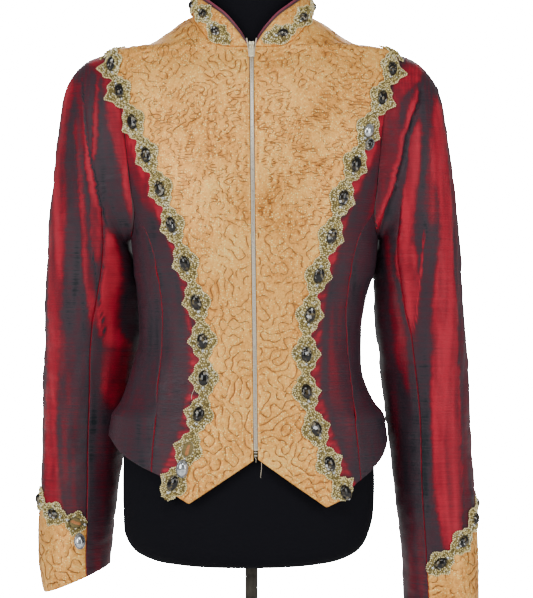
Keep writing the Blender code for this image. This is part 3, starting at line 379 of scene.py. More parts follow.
def makeGold():
    # Peach-gold metallic cloth: crinkled lamé grain with small painted glints; its raised attribute paints light on the
    # puffs and crinkles and shade in the hollows and along the stitches, and varies in soft patches at random
    n = Nodes("gold_lame")
    grain = n.noise(goldLook["grainSize"], 4.0, 0.65)
    weave = n.noise(goldLook["weaveSize"], 2.0)
    cell = n.spots(goldLook["glintSize"])
    lit = n.add("SeparateColor", {"Color": cell["Color"]}).outputs[0]
    near = n.math("LESS_THAN", cell["Distance"], goldLook["glintReach"])
    glint = n.math("MULTIPLY", near, n.math("GREATER_THAN", lit, goldLook["glintOver"]))
    tone = n.swing(grain, goldLook["grainShare"], n.attribute("raised"))
    tone = n.swing(weave, goldLook["weaveShare"], tone)
    tone = n.math("MULTIPLY_ADD", glint, goldLook["glintShare"], tone, clamp=True)
    height = n.math("MULTIPLY_ADD", weave, 0.35, grain)
    return n.done(
        colour=n.ramp(tone, goldLook["stops"]), metallic=0.3,
        roughness=n.math("MULTIPLY_ADD", grain, goldLook["grainGloss"], goldLook["roughness"] - 0.18),
        normal=n.relief(height, goldLook["relief"]), specular=0.2,
    )


def makeTone(name, stops, metallic, roughness, grainSize, relief, attribute=None, **more):
    # A grained finish whose colours follow a noise, or the piece's own attribute and the noise
    n = Nodes(name)
    grain = n.noise(grainSize, 3.0, 0.6)
    tone = n.swing(grain, 0.5, n.attribute(attribute), True) if attribute else grain
    return n.done(
        colour=n.ramp(tone, stops), metallic=metallic,
        roughness=n.math("MULTIPLY_ADD", grain, 0.2, max(0.0, roughness - 0.1)),
        normal=n.relief(grain, relief), **more,
    )


def makeStone():
    # Black glass with brown and pale reflections and glints painted as spots in its base colour, where its back facets
    # would throw them
    n = Nodes("black_diamond_glass")
    paintedGleam = n.add("SeparateColor", {"Color": n.spots(340.0)["Color"]}).outputs[1]
    stops = ((0.0, (4, 4, 5)), (0.62, (14, 12, 9)), (0.74, (54, 44, 26)), (0.85, (98, 86, 58)), (0.94, (140, 136, 126)),
             (1.0, (226, 230, 234)))
    return n.done(colour=n.ramp(paintedGleam, stops), roughness=0.06, specular=0.5)


finishes = {
    "silk": makeSilk(),
    "gold": makeGold(),
    "stitch": makeTone("quilting_thread", ((0.25, (132, 86, 42)), (0.6, (172, 120, 66)), (0.9, (240, 200, 130))),
                       0.55, 0.35, 1500.0, 0.0001),
    "piping": makeTone("wine_satin_piping", ((0.0, (52, 10, 26)), (0.4, (96, 22, 44)), (1.0, (158, 50, 82))), 0.0, 0.4,
                       700.0, 0.0001, "tone", sheen=0.2),
    # A dark wine that shows in the armhole seams as painted shade
    "lining": makeTone("painted_seam_shade", ((0.3, (30, 10, 16)), (0.7, (58, 18, 28))), 0.0, 0.5, 500.0, 0.0001),
    "bullion": makeTone("antique_bullion", ((0.0, (112, 96, 44)), (0.3, (196, 176, 104)), (0.6, (246, 230, 164)),
                                            (1.0, (255, 254, 230))), 0.35, 0.3, 1800.0, 0.0001, "tone"),
    "trimGround": makeTone("trim_ground", ((0.3, (72, 60, 28)), (0.7, (140, 122, 66))), 0.3, 0.5, 1200.0, 0.0003),
    "darkStone": makeStone(),
    "clearStone": makeTone("foiled_crystal", ((0.3, (150, 156, 160)), (0.7, (226, 230, 232))), 0.85, 0.08, 300.0, 0.0,
                           coat=1.0, coatRoughness=0.02),
    "setting": makeTone("stone_setting", ((0.3, (70, 64, 48)), (0.7, (150, 142, 112))), 0.9, 0.28, 600.0, 0.0),
    "zipMetal": makeTone("nickel_zip", ((0.3, (190, 182, 166)), (0.7, (230, 224, 210))), 0.5, 0.3, 500.0, 0.00003),
    "zipTape": makeTone("zip_tape", ((0.3, (188, 176, 154)), (0.7, (226, 216, 196))), 0.1, 0.6, 1400.0, 0.0001),
    "enamel": makeTone("cream_enamel", ((0.3, (214, 204, 166)), (0.7, (240, 232, 200))), 0.15, 0.26, 240.0, 0.0,
                       coat=0.4, coatRoughness=0.1),
    "jersey": makeTone("black_jersey", ((0.3, (14, 14, 18)), (0.7, (24, 24, 29))), 0.0, 0.95, 2200.0, 0.0002,
                       specular=0.05),
    "chrome": makeTone("polished_chrome", ((0.3, (196, 198, 202)), (0.7, (214, 216, 220))), 1.0, 0.09, 40.0, 0.0),
    # The pole's chrome has a dark base colour that stands in for the dark reflections it shows: a painted reflection
    "polePaintedReflection": makeTone("chrome_with_painted_dark_reflection", ((0.3, (34, 32, 29)), (0.7, (72, 68, 61))), 1.0, 0.16, 60.0, 0.0),
    "plate": makeTone("satin_steel", ((0.3, (148, 150, 154)), (0.7, (176, 178, 182))), 1.0, 0.3, 300.0, 0.00001),
    "oldGlue": makeTone("bare_stone_seat", ((0.3, (150, 84, 34)), (0.7, (196, 128, 66))), 0.0, 0.6, 700.0, 0.0003),
}


# Jacket and dress form: height against a size of the level section
jacket = {
    "power": 2.25, "cloth": 0.002,
    "halfWidth": mm(
        (360, 170), (380, 172), (400, 173), (440, 174.5), (481, 171), (500, 158), (525, 148.5), (550, 142),
        (571, 139), (590, 139), (616, 141), (645, 146), (658, 150), (682.5, 152.5), (705, 154.5), (750, 165),
        (800, 178), (850, 185), (900, 187), (915, 187), (925, 186), (931, 183), (934.5, 175), (937, 161), (941, 133),
        (954, 110), (972, 84), (977, 73), (985, 66),
    ),
    "sway": mm(
        (360, -4), (440, -4), (480, -5), (525, -6), (571, -2.5), (620, 0), (700, 4), (800, 3), (900, 2), (985, 0),
    ),
    "front": mm(
        (360, 126), (420, 122), (480, 114), (530, 106), (571, 102), (610, 106), (660, 118), (710, 128), (750, 128),
        (800, 120), (860, 103), (900, 88), (930, 72), (950, 66), (977, 52), (985, 50),
    ),
    "back": mm(
        (400, 126), (440, 118), (480, 105), (530, 85), (571, 74), (600, 75), (650, 83), (710, 94), (780, 102),
        (840, 103), (900, 92), (950, 70), (985, 45),
    ),
}
form = {
    "power": 2.25, "foot": 0.3, "top": 1.06, "armPlateX": 0.1575,
    "halfWidth": mm(
        (300, 98), (304.5, 120), (317, 142), (335, 152), (360, 158), (400, 159.5), (440, 157), (480, 150), (520, 138),
        (571, 123.5), (610, 126), (650, 136), (700, 146.5), (750, 156), (800, 160), (860, 162), (915, 162),
        (926, 161), (931.5, 157), (935.5, 133), (948.5, 107.5), (965.5, 80), (974, 63.5), (985, 57.5), (1020, 56),
        (1050, 55.5), (1057.5, 53.5), (1060, 49),
    ),
    "sway": mm(
        (300, -6), (440, -6), (480, -5), (525, -5), (571, -2), (620, 0), (700, 4), (800, 3), (900, 2), (985, 1),
        (1060, 1),
    ),
    "front": mm(
        (300, 70), (304.5, 88), (317, 100), (335, 106), (360, 110), (420, 111), (480, 105), (530, 97), (571, 93),
        (610, 98), (660, 112.5), (710, 123.5), (750, 124.5), (800, 116.5), (860, 99.5), (900, 84), (930, 65.5),
        (950, 54.5), (974, 46), (1000, 44.5), (1050, 44), (1060, 39),
    ),
    "back": mm(
        (300, 70), (304.5, 88), (317, 100), (335, 109), (360, 115), (400, 115), (440, 107), (480, 95), (530, 75),
        (571, 66), (600, 67), (650, 76), (710, 88), (780, 97), (840, 97), (900, 85), (950, 60), (974, 42),
        (1000, 40.5), (1050, 40), (1060, 36),
    ),
}
# Seam lines, each row a distance off the zip, or an angle, and a height
cut = {
    "zipHalf": 0.0027, "zipLine": mm((440.7, 6), (936, 0.6)),
    "shoulderZ": 0.931, "neckZ": 0.9765, "goldTopZ": 0.9347, "bustZ": 0.72, "backHemZ": 0.442,
    "princessSteps": 10, "shoulderSteps": 4, "goldPointSteps": 2, "frontSideSteps": 3, "seamStep": 2,
    "neckSteps": {"front": 6, "back": 4},
    "goldHalf": mm(
        (388, 109.5), (396, 105), (407.5, 97.5), (429.9, 86.9), (447.5, 79.8), (481, 68.8), (523.5, 60.3),
        (567.6, 61), (615.5, 66.9), (662, 78.5), (708, 94), (752.5, 107.8), (792.6, 124), (834.3, 141.1),
        (874.5, 158.3), (911.5, 171), (934.7, 173.5),
    ),
    "princessHalf": mm(
        (410, 126.2), (450.7, 123.1), (484.1, 119.7), (521.7, 117.9), (550.8, 114.1), (582.5, 112.2), (612.9, 111.2),
        (634.7, 113.4), (655.2, 116.6), (674.4, 119.4), (692.4, 123.6),
    ),
    "armholeFront": (
        (90, 0.7), (81, 0.7025), (73, 0.7095), (66.5, 0.7195), (63.5, 0.733), (62.2, 0.7525), (58.5, 0.7885),
        (57.2, 0.825), (58.5, 0.86), (64.7, 0.895), (74, 0.919), (90, 0.931),
    ),
    "armholeBack": (
        (90, 0.931), (104, 0.92), (113, 0.895), (118.5, 0.86), (119.5, 0.82), (118, 0.78), (113, 0.745),
        (106, 0.72), (98, 0.705), (90, 0.7),
    ),
    "loop": (0, 22.5, 45, 60, 75, 95, 116.25, 137.5, 158.75, 169.375, 180),
    "backSeam": ((0.442, 122), (0.48, 124), (0.53, 130), (0.571, 134), (0.62, 132), (0.67, 125)),
    "neckFront": mm(
        (2.7, 932), (15, 932), (28, 932.5), (39, 934.5), (48, 939), (60, 951), (67.5, 963), (71.8, 972),
        (74.2, 976.5),
    ),
    "neckBack": mm((0, 985), (25, 984.6), (45, 983.8), (60, 982), (69, 979.5), (74.2, 976.5)),
    "goldHem": {
        1: mm((2.7, 436.5), (84, 378.4), (109, 388.5)),
        -1: mm((2.7, 435), (80.2, 383.4), (105, 397.5)),
    },
    "sideHem": {
        1: mm((109, 388.5), (120.5, 405), (126, 408.5)),
        -1: mm((105, 397.5), (117, 416), (126.2, 419.5)),
    },
    "roundHem": {
        1: ((0, 0.4085), (0.14, 0.4148), (0.3, 0.436), (0.52, 0.45), (0.75, 0.448), (1, 0.442)),
        -1: ((0, 0.4195), (0.14, 0.429), (0.3, 0.442), (0.52, 0.456), (0.75, 0.45), (1, 0.442)),
    },
}


def skin(body, angle, z):
    # Level superellipses: angle 0 is centre front, 90 the wearer's left side and 180 centre back
    turn, z = np.radians(angle), np.asarray(z, float)
    sine, cosine = np.sin(turn), np.cos(turn)
    power = 2.0 / body["power"]
    depth = np.where(cosine >= 0, through(body["front"], z), through(body["back"], z))
    x = through(body["halfWidth"], z) * signedPower(sine, power) + through(body["sway"], z)
    y = -depth * signedPower(cosine, power)
    return np.stack(np.broadcast_arrays(x, y, z), -1)


def angleAt(body, x, z, face=1):
    # The angle of the skin's point at x and z, in front or, where face is -1, behind
    reach = (np.asarray(x, float) - through(body["sway"], z)) / through(body["halfWidth"], z)
    turn = np.arcsin(np.clip(np.abs(reach), 0, 1) ** (body["power"] / 2)) * np.sign(reach)
    degrees = np.degrees(turn)
    return np.where(np.asarray(face) > 0, degrees, np.where(degrees < 0, -180 - degrees, 180 - degrees))


def skinNormal(body, angle, z):
    across = skin(body, angle + 0.4, z) - skin(body, angle - 0.4, z)
    along = skin(body, angle, z + 0.0004) - skin(body, angle, z - 0.0004)
    return unit(np.cross(across, along))


def zipX(z):
    (low, lowX), (high, highX) = cut["zipLine"]
    return lowX + (highX - lowX) * (np.asarray(z, float) - low) / (high - low)


def toSkin(side, line, face=1):
    # From distance off the zip and height to angle and height
    x = zipX(line[..., 1]) + side * line[..., 0]
    return np.stack([angleAt(jacket, x, line[..., 1], face), line[..., 1]], -1)


def fromSkin(side, line):
    x = skin(jacket, line[..., 0], line[..., 1])[..., 0]
    return np.stack([side * (x - zipX(line[..., 1])), line[..., 1]], -1)


def armhole(side):
    # Front and back halves from the underarm to the shoulder, as angle and height
    halves = []
    for table in (cut["armholeFront"], cut["armholeBack"][::-1]):
        fine = curveThrough(table, 160)
        fine[:, 0] *= side
        walked = lengthAlong(skin(jacket, fine[:, 0], fine[:, 1]))
        halves.append(pick(fine, cut["loop"], walked / walked[-1] * 180))
    return halves


def rowsUp(foot, top):
    # Heights of a panel's rows, close together where the shoulder turns over
    low = np.linspace(foot, cut["bustZ"], cut["princessSteps"] + 1)
    high = np.sin(np.linspace(0, math.pi / 2, len(cut["loop"]) - cut["seamStep"]))
    return np.concatenate([low[:-1], cut["bustZ"] + (top - cut["bustZ"]) * high])


def shoulderSeam(side, places):
    heights = np.linspace(cut["shoulderZ"], cut["neckZ"], 200)
    edge = fromSkin(side, np.stack([np.full(200, 90.0 * side), heights], -1))
    return np.stack([places, np.interp(places, edge[::-1, 0], edge[::-1, 1])], -1)


def shoulderPlaces(side):
    tip, neck, gold = (
        fromSkin(side, np.array([90.0 * side, cut[key]]))[0] for key in ("shoulderZ", "neckZ", "goldTopZ")
    )
    return np.append(np.linspace(neck, gold, cut["shoulderSteps"] + 1), tip)


def neckline(side, part):
    # Distance off the zip and height, ending at the shoulder seam
    rows = cut["neckFront"] if part == "front" else cut["neckBack"]
    line = curveThrough(rows, cut["neckSteps"][part] + 1)
    line[-1] = shoulderSeam(side, shoulderPlaces(side)[:1])[0]
    if part == "back":
        line[0] = fromSkin(side, np.array([180.0 * side, rows[0][1]]))
    return line


def goldEdge(side):
    heights = rowsUp(cut["goldHem"][side][-1][1], cut["goldTopZ"])
    line = np.stack([through(cut["goldHalf"], heights), heights], -1)
    line[0] = cut["goldHem"][side][-1]
    line[-1] = shoulderSeam(side, shoulderPlaces(side)[-2:-1])[0]
    return line


def princessSeam(side):
    top = fromSkin(side, armhole(side)[0][cut["seamStep"]])
    table = (*cut["princessHalf"], (top[1], top[0]))
    heights = np.linspace(cut["sideHem"][side][-1][1], top[1], cut["princessSteps"] + 1)
    return np.stack([through(table, heights), heights], -1)


def sideBackSeam(side):
    top = armhole(side)[1][cut["seamStep"]]
    table = (*cut["backSeam"], (top[1], abs(top[0])))
    heights = np.linspace(cut["backHemZ"], top[1], cut["princessSteps"] + 1)
    return np.stack([side * through(table, heights), heights], -1)


def panelLines(side, part):
    # The four lines round a panel: towards the zip, away from it, foot and top
    shoulder = shoulderSeam(side, shoulderPlaces(side))
    front, back = armhole(side)
    step = cut["seamStep"]
    if part == "front_centre":
        top = np.concatenate([neckline(side, "front"), shoulder[1:-1]])
        steps = (len(top) - 1 - cut["goldPointSteps"], cut["goldPointSteps"])
        hem = np.array(cut["goldHem"][side])
        foot = np.concatenate([np.linspace(hem[k], hem[k + 1], n + 1)[:-1] for k, n in enumerate(steps)] + [hem[-1:]])
        heights = rowsUp(foot[0][1], top[0][1])
        return np.stack([np.full(len(heights), cut["zipHalf"]), heights], -1), goldEdge(side), foot, top
    if part == "front_side":
        outer = np.concatenate([princessSeam(side)[:-1], fromSkin(side, front[step:])])
        foot = curveThrough(cut["sideHem"][side], cut["frontSideSteps"] + 1)
        return goldEdge(side), outer, foot, np.linspace(shoulder[-2], shoulder[-1], cut["frontSideSteps"] + 1)
    if part == "side":
        seam, behind = toSkin(side, princessSeam(side)), sideBackSeam(side)
        top = np.concatenate([front[step::-1], back[1 : step + 1]])
        share = np.linspace(0, 1, len(top))
        foot = np.stack([
            seam[0, 0] + (behind[0, 0] - seam[0, 0]) * share, through(cut["roundHem"][side], share),
        ], -1)
        return seam, behind, foot, top
    outer = fromSkin(side, np.concatenate([sideBackSeam(side)[:-1], back[step:]]))
    top = np.concatenate([neckline(side, "back"), shoulder[1:]])
    heights = rowsUp(cut["backHemZ"], top[0][1])
    middle = fromSkin(side, np.stack([np.full(len(heights), 180.0 * side), heights], -1))
    return middle, outer, np.linspace(middle[0], outer[0], len(top)), top


def panelGrid(side, part, across, upward):
    # A panel as fine grids of skin points and outward normals
    left, right, foot, top = panelLines(side, part)
    over, up = crowded(across), crowded(upward, 0.6)
    fineTop = finer(top, over)
    if part != "side":
        # On the shoulder the top edge keeps to the line where front and back meet
        onNeck = {"front_centre": cut["neckSteps"]["front"], "back": cut["neckSteps"]["back"]}.get(part, -1)
        onSeam = over * (len(top) - 1) > onNeck + 1e-6
        edge = fromSkin(side, np.stack([np.full(across, 90.0 * side), fineTop[:, 1]], -1))
        fineTop[:, 0] = np.where(onSeam, edge[:, 0], fineTop[:, 0])
    lines = patch(
        finer(left, up), finer(right, up), finer(foot, over, part == "front_centre"), fineTop, over, up
    )
    if part != "side":
        lines = toSkin(side, lines, -1 if part == "back" else 1)
    angle, z = lines[..., 0], lines[..., 1]
    return skin(jacket, angle, z), skinNormal(jacket, angle, z)


def edgeDistance(points):
    # How far each point of a grid lies from its left, right, foot and top edge, along the grid
    across = np.linalg.norm(np.diff(points, axis=1), axis=2)
    along = np.linalg.norm(np.diff(points, axis=0), axis=2)
    left = np.concatenate([np.zeros((len(points), 1)), np.cumsum(across, 1)], 1)
    foot = np.concatenate([np.zeros((1, points.shape[1])), np.cumsum(along, 0)], 0)
    return left, left[:, -1:] - left, foot, foot[-1:] - foot


# Soft folds of the silk, each a band of painted sheen where its ridge catches the light and raised by its depth: side,
# crimson share, softness of the left and right edge and depth, then rows of height, left and right edge, all in
# millimetres on the plane through the jacket's middle, sighted from in front
sleeveFolds = (
    (1, 0.3, 6.0, 3.0, 0.0, (
        (880, 152, 205), (840, 152, 192), (800, 148, 184), (760, 144, 175), (720, 140, 162), (695, 138, 150)
    )),
    (-1, 0.85, 1.5, 3.0, 1.0, (
        (902, -227, -222), (883, -236, -223), (839, -239, -231), (794, -246, -236), (750, -249, -234),
        (705, -253, -234), (660, -254, -236), (615, -255, -238), (589, -255, -239), (540, -256, -242),
        (490, -258, -242), (441, -259, -242), (392, -260, -238), (338, -261, -232)
    )),
    (-1, 0.3, 4, 7, 0.0, (
        (588, -243, -227), (525, -243, -224), (450, -243, -222), (400, -242, -214), (350, -242, -209)
    )),
    (-1, 0.7, 1.0, 2.5, 0.9, (
        (852, -222, -219), (839, -222, -216), (794, -219, -214), (750, -215, -209), (705, -213, -206),
        (660, -211, -204), (625, -206, -198), (598, -201, -194)
    )),
    (-1, 0.55, 0.8, 2.0, 0.7, (
        (902, -212, -210), (861, -212, -208), (825, -209, -204), (794, -208, -199), (775, -206, -196),
        (750, -202, -191), (705, -202, -186), (672, -199, -187)
    )),
    (-1, 0.75, 0.9, 1.2, 0.8, (
        (915, -192, -191), (862, -197, -191), (838, -198, -191), (812, -199, -192), (798, -199, -197)
    )),
    (-1, 0.8, 2.5, 1.0, 0.8, (
        (930, -189, -167), (900, -184, -167), (884, -184, -167), (861, -182, -162), (839, -178, -157),
        (816, -172, -153), (794, -166, -152), (771, -161, -151), (750, -157, -149), (730, -152, -148)
    )),
    (-1, 0.55, 3, 3, 0.0, (
        (932, -202, -174), (922, -204, -174), (910, -198, -174), (900, -189, -174)
    )),
    (-1, 1.0, 2.0, 2.5, 1.0, (
        (710, -182, -176), (698, -184, -168), (682, -185, -163), (660, -185, -161), (638, -189, -162),
        (614, -193, -166), (589, -191, -168), (571, -186, -152), (565, -184, -147)
    )),
    (-1, 0.55, 3, 3, 0.0, (
        (568, -187, -139), (560, -187, -143), (540, -188, -148), (515, -187, -156), (490, -184, -167)
    )),
    (-1, 0.22, 6, 6, 0.0, (
        (462, -194, -152), (375, -192, -152), (262, -202, -152)
    )),
    (1, 0.9, 2.5, 1.0, 1.0, (
        (878, 229, 233), (866, 228, 238), (830, 224, 243), (787, 223, 247), (744, 236, 251), (701, 236, 252),
        (658, 231, 254), (615, 226, 258), (566, 227, 259), (521, 224, 261), (475, 224, 262), (429, 226, 263),
        (382, 228, 264), (331, 237, 264), (306, 243, 264)
    )),
    (1, 0.45, 2, 3, 0.0, (
        (812, 223, 238), (766, 216, 238), (744, 214, 236), (719, 221, 233)
    )),
    (1, 0.22, 1, 1, 0.0, (
        (900, 247, 263), (830, 243, 273), (701, 252, 286), (568, 259, 298), (429, 263, 298), (338, 263, 311)
    )),
    (1, 0.85, 1.0, 2.0, 0.8, (
        (875, 198, 203), (866, 196, 207), (850, 195, 203), (834, 194, 198)
    )),
    (1, 0.85, 1.2, 2.5, 0.9, (
        (852, 209, 212), (840, 203, 214), (830, 199, 214), (812, 196, 212), (788, 194, 212), (765, 191, 207),
        (744, 188, 205), (722, 186, 203), (701, 183, 201), (679, 179, 208), (658, 181, 209), (636, 188, 209),
        (615, 191, 206), (590, 199, 203), (580, 201, 202)
    )),
    (1, 0.45, 2.5, 2.0, 0.0, (
        (715, 163, 167), (705, 164, 171), (658, 168, 176), (612, 173, 186), (590, 176, 192), (566, 178, 194),
        (544, 182, 196), (510, 191, 196)
    )),
    (1, 0.2, 5, 4, 0.0, (
        (575, 156, 183), (475, 166, 183), (400, 171, 186), (338, 176, 216), (250, 181, 223)
    )),
    (1, 0.6, 3, 2.0, 0.0, (
        (922, 192, 217), (900, 179, 212), (881, 173, 191), (866, 167, 188), (848, 161, 186)
    )),
)
# Painted light of the folds: inside and skirt give a band's sheen and its weaker halo, grain and grainSwing vary it in
# streaks, lineShade and lineDeepShade paint the shade in a crease, and lineLit, litAside and litWide paint the light on
# or beside it
foldLook = {"inside": 0.62, "skirt": 0.24, "skirtWide": 0.004, "grain": 0.88, "grainSwing": 0.1, "end": 0.012,
            "lineShade": 0.9, "lineDeepShade": 0.25, "lineLit": 0.8, "litAside": -0.0056, "litWide": 0.0038}
sightY, sightX, sightZ = 2.2, 0.01875, 0.62625
foldEdge = Ripple(61, 0.0015, 0.009, 48, stretch=(9, 9, 1))
streaks = Ripple(62, 0.005, 0.03, 40, stretch=(1, 1, 9))


def sighted(points):
    # Where a sight line through each point crosses the jacket's middle plane
    scale = sightY / (sightY + points[..., 1])
    return sightX + (points[..., 0] - sightX) * scale, sightZ + (points[..., 2] - sightZ) * scale


# Sharp creases, each a line of painted shade, or of painted light where its depth is negative, with a painted highlight
# at its left: side, half-width, depth, crimson at the left, then height and place, in millimetres
creases = (
    (1, 2.2, 3.4, 0.6, ((895, 214), (875, 211), (855, 203), (830, 195), (800, 190), (781, 184), (766, 181), (744, 172),
                         (722, 164), (701, 156))),
    (-1, 1.2, 1.2, 0.35, ((904, -212), (875, -210), (844, -207), (816, -204), (794, -199), (762, -192), (732, -184),
                          (713, -178))),
    (1, 1.0, -0.9, 0.0, ((716, 216), (680, 214), (640, 209), (610, 206), (580, 203))),
    (-1, 1.3, 0.9, 0.0, ((588, -180), (582, -170), (577, -160), (574, -150), (573, -142))),
    (-1, 1.0, 0.7, 0.2, ((690, -199), (640, -193), (600, -186), (575, -182))),
)


def foldsAt(table, side, points, ragged=0.0007):
    # Crimson share and relief: each fold is a band of painted sheen with soft edges and a weaker skirt, raised by its
    # depth, and the creases cut in as lines of painted shade with a painted highlight beside them
    across, height = sighted(points)
    across = across + ragged * foldEdge(points)
    crimsonAndSheen, raised = np.zeros(across.shape), np.zeros(across.shape)
    look = foldLook
    grain = look["grain"] + look["grainSwing"] * streaks(points)
    for bandSide, amount, softLeft, softRight, depth, rows in table:
        if bandSide != side:
            continue
        knots = np.array(rows[::-1], float) / 1000
        left, right = (np.interp(height, knots[:, 0], knots[:, k]) for k in (1, 2))
        low, high = knots[0, 0], knots[-1, 0]
        end = min(look["end"], (high - low) / 3)
        within = smoothStep(low - end, low + end, height) * (1 - smoothStep(high - end, high + end, height))

        def band(soft, spread):
            before, after = soft * softLeft / 1000 + spread, soft * softRight / 1000 + spread
            return smoothStep(left - before, left + before, across) * (
                1 - smoothStep(right - after, right + after, across)) * within

        inside = band(1.6, 0.0)
        skirt = look["skirt"] * band(2.0, look["skirtWide"])
        crimsonAndSheen = np.maximum(crimsonAndSheen, amount * (look["inside"] * inside * grain + skirt))
        raised = raised + depth / 1000 * inside
    if table is sleeveFolds:
        for lineSide, wide, depth, lit, rows in creases:
            if lineSide != side:
                continue
            knots = np.array(rows[::-1], float) / 1000
            away = across - np.interp(height, knots[:, 0], knots[:, 1])
            low, high, end = knots[0, 0], knots[-1, 0], look["end"]
            within = smoothStep(low, low + end, height) * (1 - smoothStep(high - end, high, height))
            line = bump(away, 0, wide / 1000) * within
            # A crease cut in paints shade along its line and a raised one paints light, each with a painted highlight
            # at its left
            crimsonAndSheen = crimsonAndSheen + lit * bump(away, look["litAside"], look["litWide"]) * within
            dark = crimsonAndSheen * (1 - look["lineShade"] * line) - look["lineDeepShade"] * line
            crimsonAndSheen = np.where(depth > 0, dark, np.maximum(crimsonAndSheen, look["lineLit"] * line))
            raised = raised - depth / 1000 * line
    return crimsonAndSheen, raised


# Dress form and stand
formLook = {"around": 96, "upward": 110, "topRings": 8, "closed": 0.02}


def addForm():
    # Rings of the form's section, cut off flat at the armholes and closed at both ends
    turn = np.arange(formLook["around"]) * 360 / formLook["around"]
    knots = np.array([row[0] for row in form["halfWidth"]])
    share = np.linspace(0, len(knots) - 1, formLook["upward"])
    z = np.interp(share, range(len(knots)), knots)
    rings = skin(form, turn[None, :], z[:, None])
    rings[..., 0] = np.clip(rings[..., 0], -form["armPlateX"], form["armPlateX"])
    lids = []
    for end in (0, -1):
        middle = rings[end].mean(0)
        closing = np.linspace(1, formLook["closed"], formLook["topRings"])[1:, None, None]
        lids.append(middle + (rings[end] - middle) * closing)
    points = np.concatenate([lids[0][::-1], rings, lids[1]])
    made = makePiece("form_torso_jersey", points, ringFaces(*points.shape[:2]), "jersey", replaces=["form_torso"],
                     sharpAngle=60)


def addStand():
    for node, finish in (("stand_pole", "polePaintedReflection"), ("stand_base", "plate")):
        holder = frame["nodes"][node]
        holder.data.materials.clear()
        holder.data.materials.append(finishes[finish])


addForm()
addStand()
print("dress form and stand ready")


# Panels of the body
panelLook = {
    "sizes": {"front_side": (32, 160), "side": (52, 96), "back": (68, 134)},
    "seamDip": 0.0011, "seamWide": 0.0022, "puckerDepth": 0.00035, "puckerReach": 0.01,
    "wrinkleDepth": 0.0007, "highest": 0.0009, "flatEdge": 0.02,
}
pucker = Ripple(11, 0.004, 0.009, 24, stretch=(6, 6, 1))
drag = Ripple(12, 0.03, 0.08, 24, stretch=(3, 3, 1))


def rolledUnder(away, dip, wide):
    # Depth by which the cloth rolls under at an edge: a quarter round
    share = np.clip(1 - away / wide, 0, 1)
    return dip * (1 - np.sqrt(np.clip(1 - share * share, 0, 1)))


def turnedEdge(points, dip, wide):
    return rolledUnder(np.minimum.reduce(edgeDistance(points)), dip, wide)


# Painted light on the silk: reach and armhole are the widths of the painted highlight along rolled seams and the
# armhole, base is the plain crimson share, streak paints soft streaks of shade, upward paints more crimson where the
# cloth faces up, and sheenBesideTrim paints sheen on the puckers beside the trim
silkEdge = {
    "reach": 0.0011, "armhole": 0.0022, "base": 0.17, "trimHalf": 0.0175, "streak": 0.05, "upward": 0.1,
    "sheenBesideTrim": (0.004, 0.42, 0.2),
}
# Bands of painted sheen on the front side panels' folds, as the sleeves' table
bodyFolds = (
    (-1, 0.5, 4, 6, 0.3, (
        (906, -173, -150), (884, -170, -145), (862, -166, -142), (837, -163, -128), (812, -158, -122),
        (794, -155, -118), (775, -150, -108), (750, -138, -98), (731, -126, -92), (719, -114, -90),
    )),
    (1, 0.55, 6, 9, 0.3, (
        (900, 172, 200), (880, 168, 192), (857, 150, 186), (840, 140, 180), (820, 132, 165), (800, 126, 158),
        (775, 120, 140), (750, 112, 126),
    )),
    (1, 0.34, 7, 7, 0.0, ((850, 184, 192), (800, 165, 180), (750, 140, 172), (710, 138, 164), (680, 136, 156))),
    (1, 0.14, 9, 9, 0.0, ((720, 95, 140), (600, 60, 150), (500, 60, 170), (420, 70, 180))),
)


def silkShade(points, normals):
    # What all silk shares: soft streaks of painted shade, and a little more crimson where the cloth faces up, as
    # painted light from above
    return silkEdge["streak"] * streaks(points) + silkEdge["upward"] * np.clip(normals[..., 2], 0, 1)


def panelShotAndSheen(side, part, points, normals):
    # Crimson share of a body panel: the base, painted sheen on the folds and on the puckers beside the trim, and a
    # painted highlight along the rolled edges
    left, right = edgeDistance(points)[:2]
    crimsonAndSheen = silkEdge["base"] + silkShade(points, normals)
    if part == "front_side":
        crimsonAndSheen = crimsonAndSheen + foldsAt(bodyFolds, side, points)[0]
        wide, lit, swing = silkEdge["sheenBesideTrim"]
        beside = bump(np.clip(left - silkEdge["trimHalf"], 0, 1), 0, wide)
        crimsonAndSheen = crimsonAndSheen + beside * (lit + swing * pucker(points))
    rolledHighlight = bump(np.minimum(left, right), 0, silkEdge["reach"])
    return np.clip(np.maximum(crimsonAndSheen, rolledHighlight), 0, 1)


def addSilkPanel(side, name, part):
    columns, rows = panelLook["sizes"][part]
    points, normals = panelGrid(side, part, columns, rows)
    away = edgeDistance(points)
    dip = turnedEdge(points, panelLook["seamDip"], panelLook["seamWide"])
    creases = panelLook["puckerDepth"] * pucker(points) * np.exp(-np.minimum(*away[:2]) / panelLook["puckerReach"])
    inside = smoothStep(0, panelLook["flatEdge"], np.minimum.reduce(away))
    moved = np.minimum(creases + panelLook["wrinkleDepth"] * drag(points) * inside, panelLook["highest"]) - dip
    outer = points + normals * moved[..., None]
    shotAndSheen = panelShotAndSheen(side, part, outer, gridNormals(outer, normals))
    shell(f"{part}_{name}_silk", outer, points - normals * jacket["cloth"], "silk",
          replaces=[f"{part}_{name}"], attributes={"shotAndSheen": shotAndSheen}, plain=points)


for side, name in sides:
    for part in ("front_side", "side", "back"):
        addSilkPanel(side, name, part)
print("silk panels ready")


